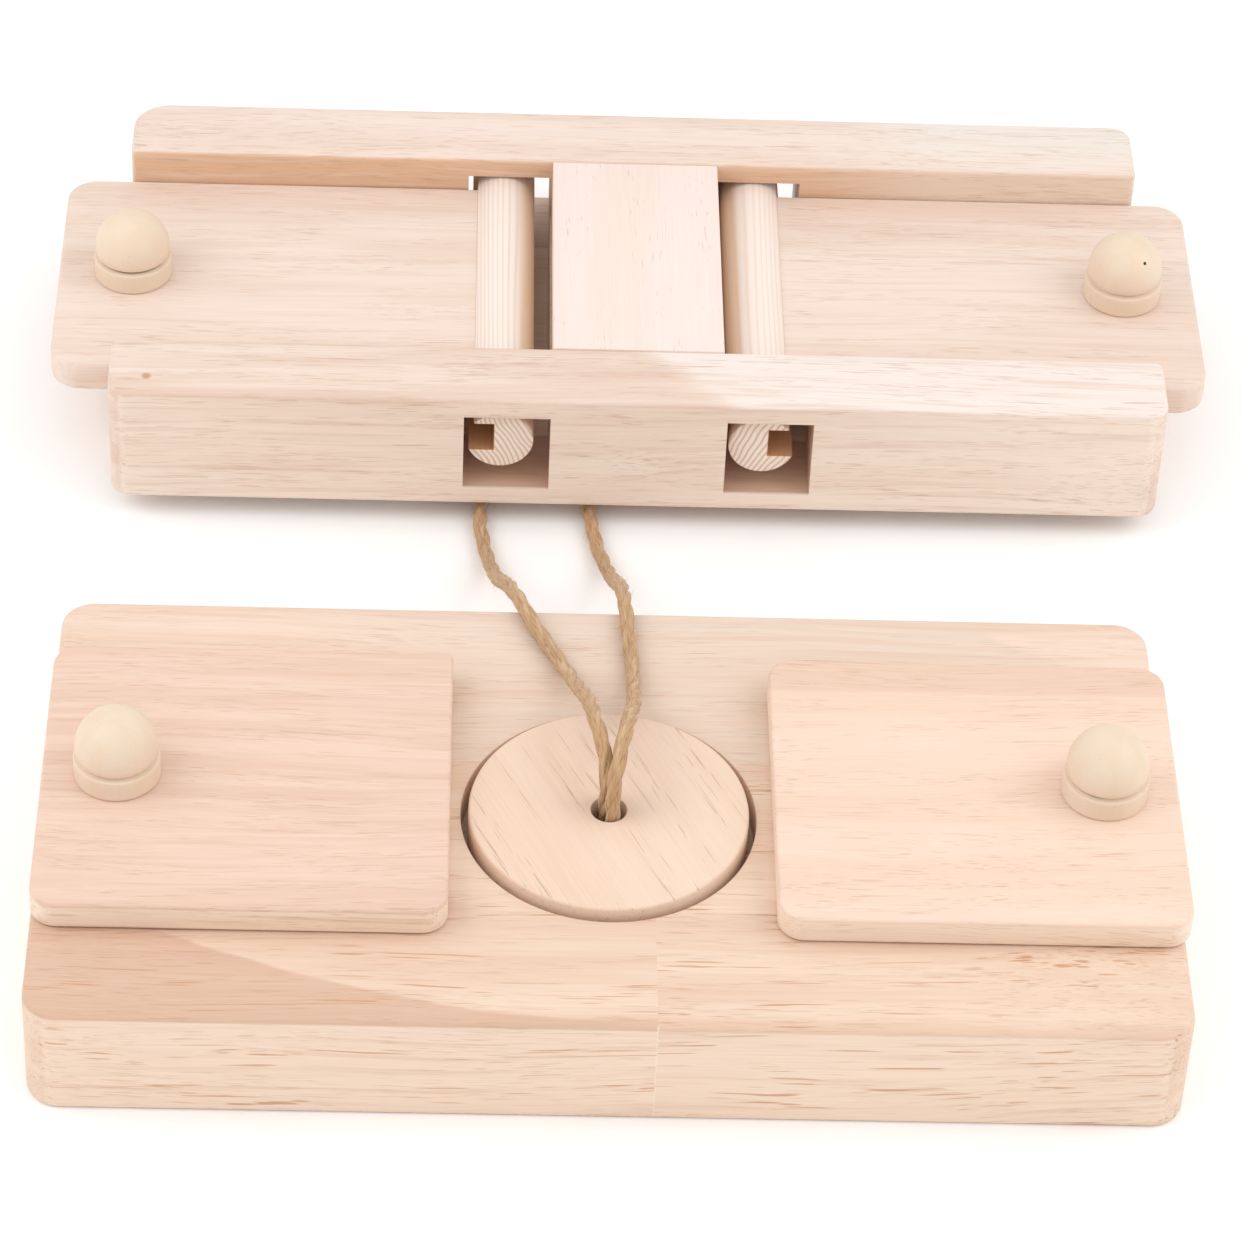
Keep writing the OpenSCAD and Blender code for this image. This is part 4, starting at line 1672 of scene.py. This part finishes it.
def wood_finishes() -> dict[str, Material]:
    """Makes the wood of every piece, each with its own seed and tones.

    Returns:
        A material for each CAD node.
    """
    board = Space.of_node("base_front_left_stave")
    front, top = board.low.y / MM, board.high.z / MM
    rail = Space.of_node("front_rail")
    rail_front, rail_back = rail.low.y / MM, rail.high.y / MM
    rear = Space.of_node("rear_rail").low.y / MM
    lid_back = Space.of_node("right_slide_lid").high.y / MM
    heart = Stain(
        colour=(0.63, 0.40, 0.28), strength=0.75, low=(-OPEN, -OPEN, top - 1.0), constant=front + 3.0,
        along_y=-1.0, curve=0.0019, softness=1.6, waviness=1.2,
    )
    strip = Stain(
        colour=(0.70, 0.45, 0.32), strength=0.6, low=(-OPEN, -OPEN, top - 1.2), constant=front + 6.0,
        along_y=-1.0, softness=5.0, waviness=2.5,
    )
    # Painted shade: the rear stave is painted greyer and darker over its front and left part, up to a
    # curved line, for an area that lies in shade.
    behind = Stain(colour=(0.725, 0.575, 0.465), strength=0.65, low=(-60.0, -OPEN, -OPEN), blur=40.0,
                   constant=24.0, along_y=-1.0, along_x=-0.6, softness=2.5, waviness=3.0)
    pink_back = Stain(
        colour=(0.74, 0.50, 0.38), strength=0.75, low=(-OPEN, lid_back - 12.0, -OPEN), blur=1.2,
    )
    # Painted shade: the rear rail's inner face, which stands in shade, is painted orange-tan for the shade
    # and warm bounced light on it.
    inner_face_painted_shade = Stain(colour=(0.70, 0.42, 0.25), strength=0.85, high=(OPEN, rear + 0.5, OPEN))
    # Painted shade: the walls, sill and ceiling inside the front rail's windows are painted darker orange
    # for the shade inside the openings.
    window = Stain(colour=(0.62, 0.36, 0.24), strength=0.75, low=(-60.0, rail_front + 0.8, 5.0),
                   high=(64.0, rail_back - 0.8, 40.2))
    pale_sweep = Stain(
        colour=(0.86, 0.74, 0.67), strength=0.85, low=(-OPEN, -OPEN, rail.high.z / MM - 1.0),
        constant=-38.0, along_x=0.55, along_y=0.55, softness=7.0, waviness=4.0,
    )
    lid_top = Space.of_node("right_slide_lid").high.z / MM
    # Painted light: the lids' sides, below their tops, are painted paler, for how the light falls on them.
    lid_side_painted_light = Stain(colour=(0.89, 0.70, 0.55), strength=0.9, high=(OPEN, OPEN, lid_top - 1.2))
    # Painted light: the base's front face is painted paler than its top, for how the light falls on it.
    front_face_painted_light = Stain(colour=(0.87, 0.665, 0.52), strength=0.75, high=(OPEN, front + 0.7, top - 1.2))
    # Painted light: the front rail's front face is painted paler than its top, for how the light falls on
    # it.
    rail_face_painted_light = Stain(
        colour=(0.89, 0.735, 0.61), strength=0.6,
        high=(OPEN, rail_front + 0.7, rail.high.z / MM - 1.2),
    )
    joint = Space.of_node("base_front_right_stave").low.x / MM
    glue = Stain(colour=(0.93, 0.80, 0.67), strength=0.4, low=(joint - 0.25, -OPEN, -OPEN), blur=0.12,
                 high=(joint + 0.25, front + 0.9, OPEN))
    pale_end = Stain(
        colour=(0.80, 0.72, 0.655), strength=0.85, low=(75.0, rear + 1.2, -OPEN), blur=25.0,
    )
    # Painted shade as well: at the rear rail's right end the faces below the top get a paler orange tint,
    # so the painted shade of the inner face is lighter there.
    inner_painted_shade_right = Stain(colour=(0.78, 0.55, 0.38), strength=0.85, low=(75.0, -OPEN, -OPEN), blur=28.0,
                       high=(OPEN, OPEN, rail.high.z / MM - 1.0))
    orange = (0.55, 0.27, 0.13)
    front_dashes = Pores(
        colour=orange, length=24.0, width=0.7, level=0.625, strength=0.75, row_width=6.0,
        row_level=0.42,
    )
    rail_dashes = Pores(
        colour=(0.48, 0.28, 0.18), length=18.0, width=0.45, level=0.63, strength=0.42, row_width=5.0,
        row_level=0.44,
    )
    few_dashes = Pores(length=18.0, width=0.5, level=0.68, strength=0.45)
    plug_lines = Pores(
        colour=(0.40, 0.26, 0.17), length=12.0, width=0.34, level=0.57, strength=0.6, row_width=1.3,
        row_level=0.56,
    )
    flecks = Pores(
        colour=(0.50, 0.38, 0.28), length=6.0, width=0.5, level=0.66, strength=0.4, row_width=9.0,
    )
    specks = Pores(
        colour=(0.42, 0.27, 0.15), length=1.2, width=0.5, level=0.7, strength=0.4, row_width=4.0,
        row_level=0.5,
    )
    rear_pale, rear_warm = (0.81, 0.645, 0.545), (0.72, 0.53, 0.42)
    knot = Pinhole((rail.low.x + 11 * MM, rail.low.y + 8 * MM, rail.high.z), 1.9, (0.56, 0.32, 0.18), 0.35)
    base_pale, base_warm = (0.81, 0.61, 0.47), (0.725, 0.49, 0.355)
    woods = {
        "base_front_left_stave": WoodFinish(
            "stave_front_left", pale=base_pale, warm=base_warm, seed=(11, 3, 5),
            pores=(FINE_PORES, front_dashes), stains=(strip, front_face_painted_light, heart, glue),
        ),
        "base_front_right_stave": WoodFinish(
            "stave_front_right", pale=base_pale, warm=base_warm, seed=(140, 37, 15),
            pores=(FINE_PORES, front_dashes), stains=(strip, front_face_painted_light, glue), lean=2.5,
        ),
        "base_rear_stave": WoodFinish(
            "stave_rear", pale=(0.81, 0.62, 0.50), warm=base_warm, seed=(60, 9, 25),
            pores=(FINE_PORES, few_dashes), stains=(behind,),
        ),
        "left_slide_lid": WoodFinish(
            "lid_slide_left", pale=(0.80, 0.575, 0.455), warm=(0.71, 0.47, 0.36), seed=(33, 50, 2),
            band_width=8.0, streak_strength=0.16, pores=(FINE_PORES, few_dashes), stains=(lid_side_painted_light,),
        ),
        "right_slide_lid": WoodFinish(
            "lid_slide_right", pale=(0.855, 0.635, 0.505), warm=(0.80, 0.56, 0.43), seed=(75, 22, 9),
            streak_strength=0.08, pores=(FINE_PORES,), wander=7.0, stains=(pink_back, lid_side_painted_light),
        ),
        "plug": WoodFinish(
            "plug_face", grain=Grain.SLANTING, seed=(5, 70, 31), pale=(0.82, 0.615, 0.48),
            warm=(0.79, 0.56, 0.42), pores=(plug_lines,), streak_strength=0.04, wander=0.6,
        ),
        "floor_board": WoodFinish("floor_wood", pale=base_pale, warm=base_warm, seed=(200, 12, 40)),
        "front_rail": WoodFinish(
            "rail_front", pale=rear_pale, warm=(0.69, 0.49, 0.375), seed=(90, 81, 7),
            pores=(FINE_PORES, rail_dashes), lean=0.8, band_width=9.0, band_strength=0.75,
            stains=(pale_sweep, rail_face_painted_light, window), pinhole=knot,
        ),
        "rear_rail": WoodFinish(
            "rail_rear", pale=(0.82, 0.66, 0.57), warm=(0.75, 0.57, 0.46), seed=(15, 94, 60),
            pores=(FINE_PORES, rail_dashes), stains=(inner_face_painted_shade, inner_painted_shade_right, pale_end),
        ),
        "centre_block": WoodFinish(
            "block_wood", pale=rear_pale, warm=rear_warm, grain=Grain.ALONG_Y, seed=(8, 14, 70),
        ),
        "centre_plate": WoodFinish(
            "plate_wood", grain=Grain.ALONG_Y, pale=(0.88, 0.71, 0.64), warm=(0.84, 0.66, 0.56),
            seed=(44, 18, 3), pores=(flecks,), streak_strength=0.05, wander=1.5,
        ),
        "left_flip_lid": WoodFinish("lid_flip_left", pale=rear_pale, warm=rear_warm, seed=(120, 61, 18),
                                    pores=(FINE_PORES,)),
        "right_flip_lid": WoodFinish(
            "lid_flip_right", pale=rear_pale, warm=rear_warm, seed=(170, 29, 55), pores=(FINE_PORES,),
            streak_strength=0.14,
        ),
    }
    knob_box = Space.of_node("right_flip_knob")
    knobs = KnobSet()
    dome = Vector((knob_box.centre.x, knob_box.centre.y, knob_box.high.z - knobs.dome_radius))
    pin_side = Vector((0.42, -0.62, 0.66)).normalized()
    pin = dome + pin_side * knobs.dome_radius
    groove_middle = (knobs.collar_height + knobs.groove_height / 2) / MM
    for number, name in enumerate(knobs.places):
        groove = Space.of_node(name).low.z / MM + groove_middle
        # Painted shade: a broken dark ring is painted in each knob's groove, for the shade inside the
        # narrow groove.
        ring = Stain(
            colour=(0.22, 0.13, 0.06), strength=0.8, constant=0.0, waviness=1.0, softness=0.25,
            blur=0.15, low=(-OPEN, -OPEN, groove - 0.3), high=(OPEN, OPEN, groove + 0.35),
        )
        woods[name] = WoodFinish(
            name + "_beech", pale=(0.785, 0.62, 0.475), warm=(0.765, 0.575, 0.41), grain=Grain.UPRIGHT,
            stains=(ring,), seed=(9.0 * number, 41, 13), band_length=60, band_width=6,
            band_strength=0.5, streak_strength=0.04, fibre_strength=0.03, pores=(specks,),
            roughness=0.5, pinhole=Pinhole(tuple(pin)) if name == "right_flip_knob" else None,
        )
    made = {node: finish.build() for node, finish in woods.items()}
    for side, slant, layer, late in (("left", 25.0, 1.5, 0.38), ("right", -26.0, 1.7, 0.3)):
        dowel, lid = Space.of_node(side + "_pivot_dowel"), Space.of_node(side + "_flip_lid")
        low_x = dowel.low.x if side == "left" else lid.low.x
        high_x = lid.high.x if side == "left" else dowel.high.x
        # Painted shade: the faces inside each dowel's notch are painted deep orange-brown, for the shade
        # and warm bounced light in the notch.
        notch = Stain(colour=(0.56, 0.26, 0.09), strength=0.85, blur=0.05,
                      low=(low_x / MM - 0.2, -OPEN, lid.low.z / MM - 0.1),
                      high=(high_x / MM + 0.2, OPEN, lid.high.z / MM + 0.1))
        middle, top_z = dowel.centre.x / MM, dowel.high.z / MM
        ends = (dowel.low.y / MM, dowel.high.y / MM)
        outward = -1 if side == "left" else 1
        # Painted shade: each dowel's side towards the board's middle is painted warmer golden brown, for
        # the warm shade on that side; the ends and top are left out.
        core = Stain(
            colour=(0.80, 0.56, 0.35), strength=0.7, constant=outward * middle, along_x=-outward,
            softness=9.0, low=(-OPEN, ends[0] + 1.0, -OPEN), high=(OPEN, ends[1] - 1.0, top_z - 1.5),
        )
        made[side + "_pivot_dowel"] = PineFinish(
            side + "_dowel_pine", slant=slant, layer=layer, late_strength=late,
            seed=(0.6 * slant, 3, 0), ends=ends, stains=(core, notch),
        ).build()
    return made


def main() -> None:
    """Builds the camera, the rope and every piece, and reports each one."""
    logging.basicConfig(level=logging.INFO, format="%(name)s: %(message)s")
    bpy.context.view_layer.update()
    studio = Studio()
    studio.camera()
    finishes = wood_finishes()
    jute = JuteFinish("jute").build()
    hair = JuteFinish("jute_hair", light=(0.70, 0.52, 0.32), dark=(0.45, 0.29, 0.15)).build()
    made = RopeLoop().build(jute, hair)
    made += FrontBoard().build(finishes)
    made += SlideLids().build(finishes)
    made.append(Plug().build(finishes["plug"]))
    made += RearBoard().build(finishes)
    made += FlipLids().build(finishes)
    made += KnobSet().build(finishes)
    pine = PineFinish("runner_pine", slant=12.0).build()
    Fasteners().build(SteelFinish("screw_steel").build(), pine)
    studio.floor()
    studio.lights()
    for piece in made:
        LOG.info("%s: %d faces", piece.name, len(piece.data.polygons))


if __name__ == "__main__":
    main()
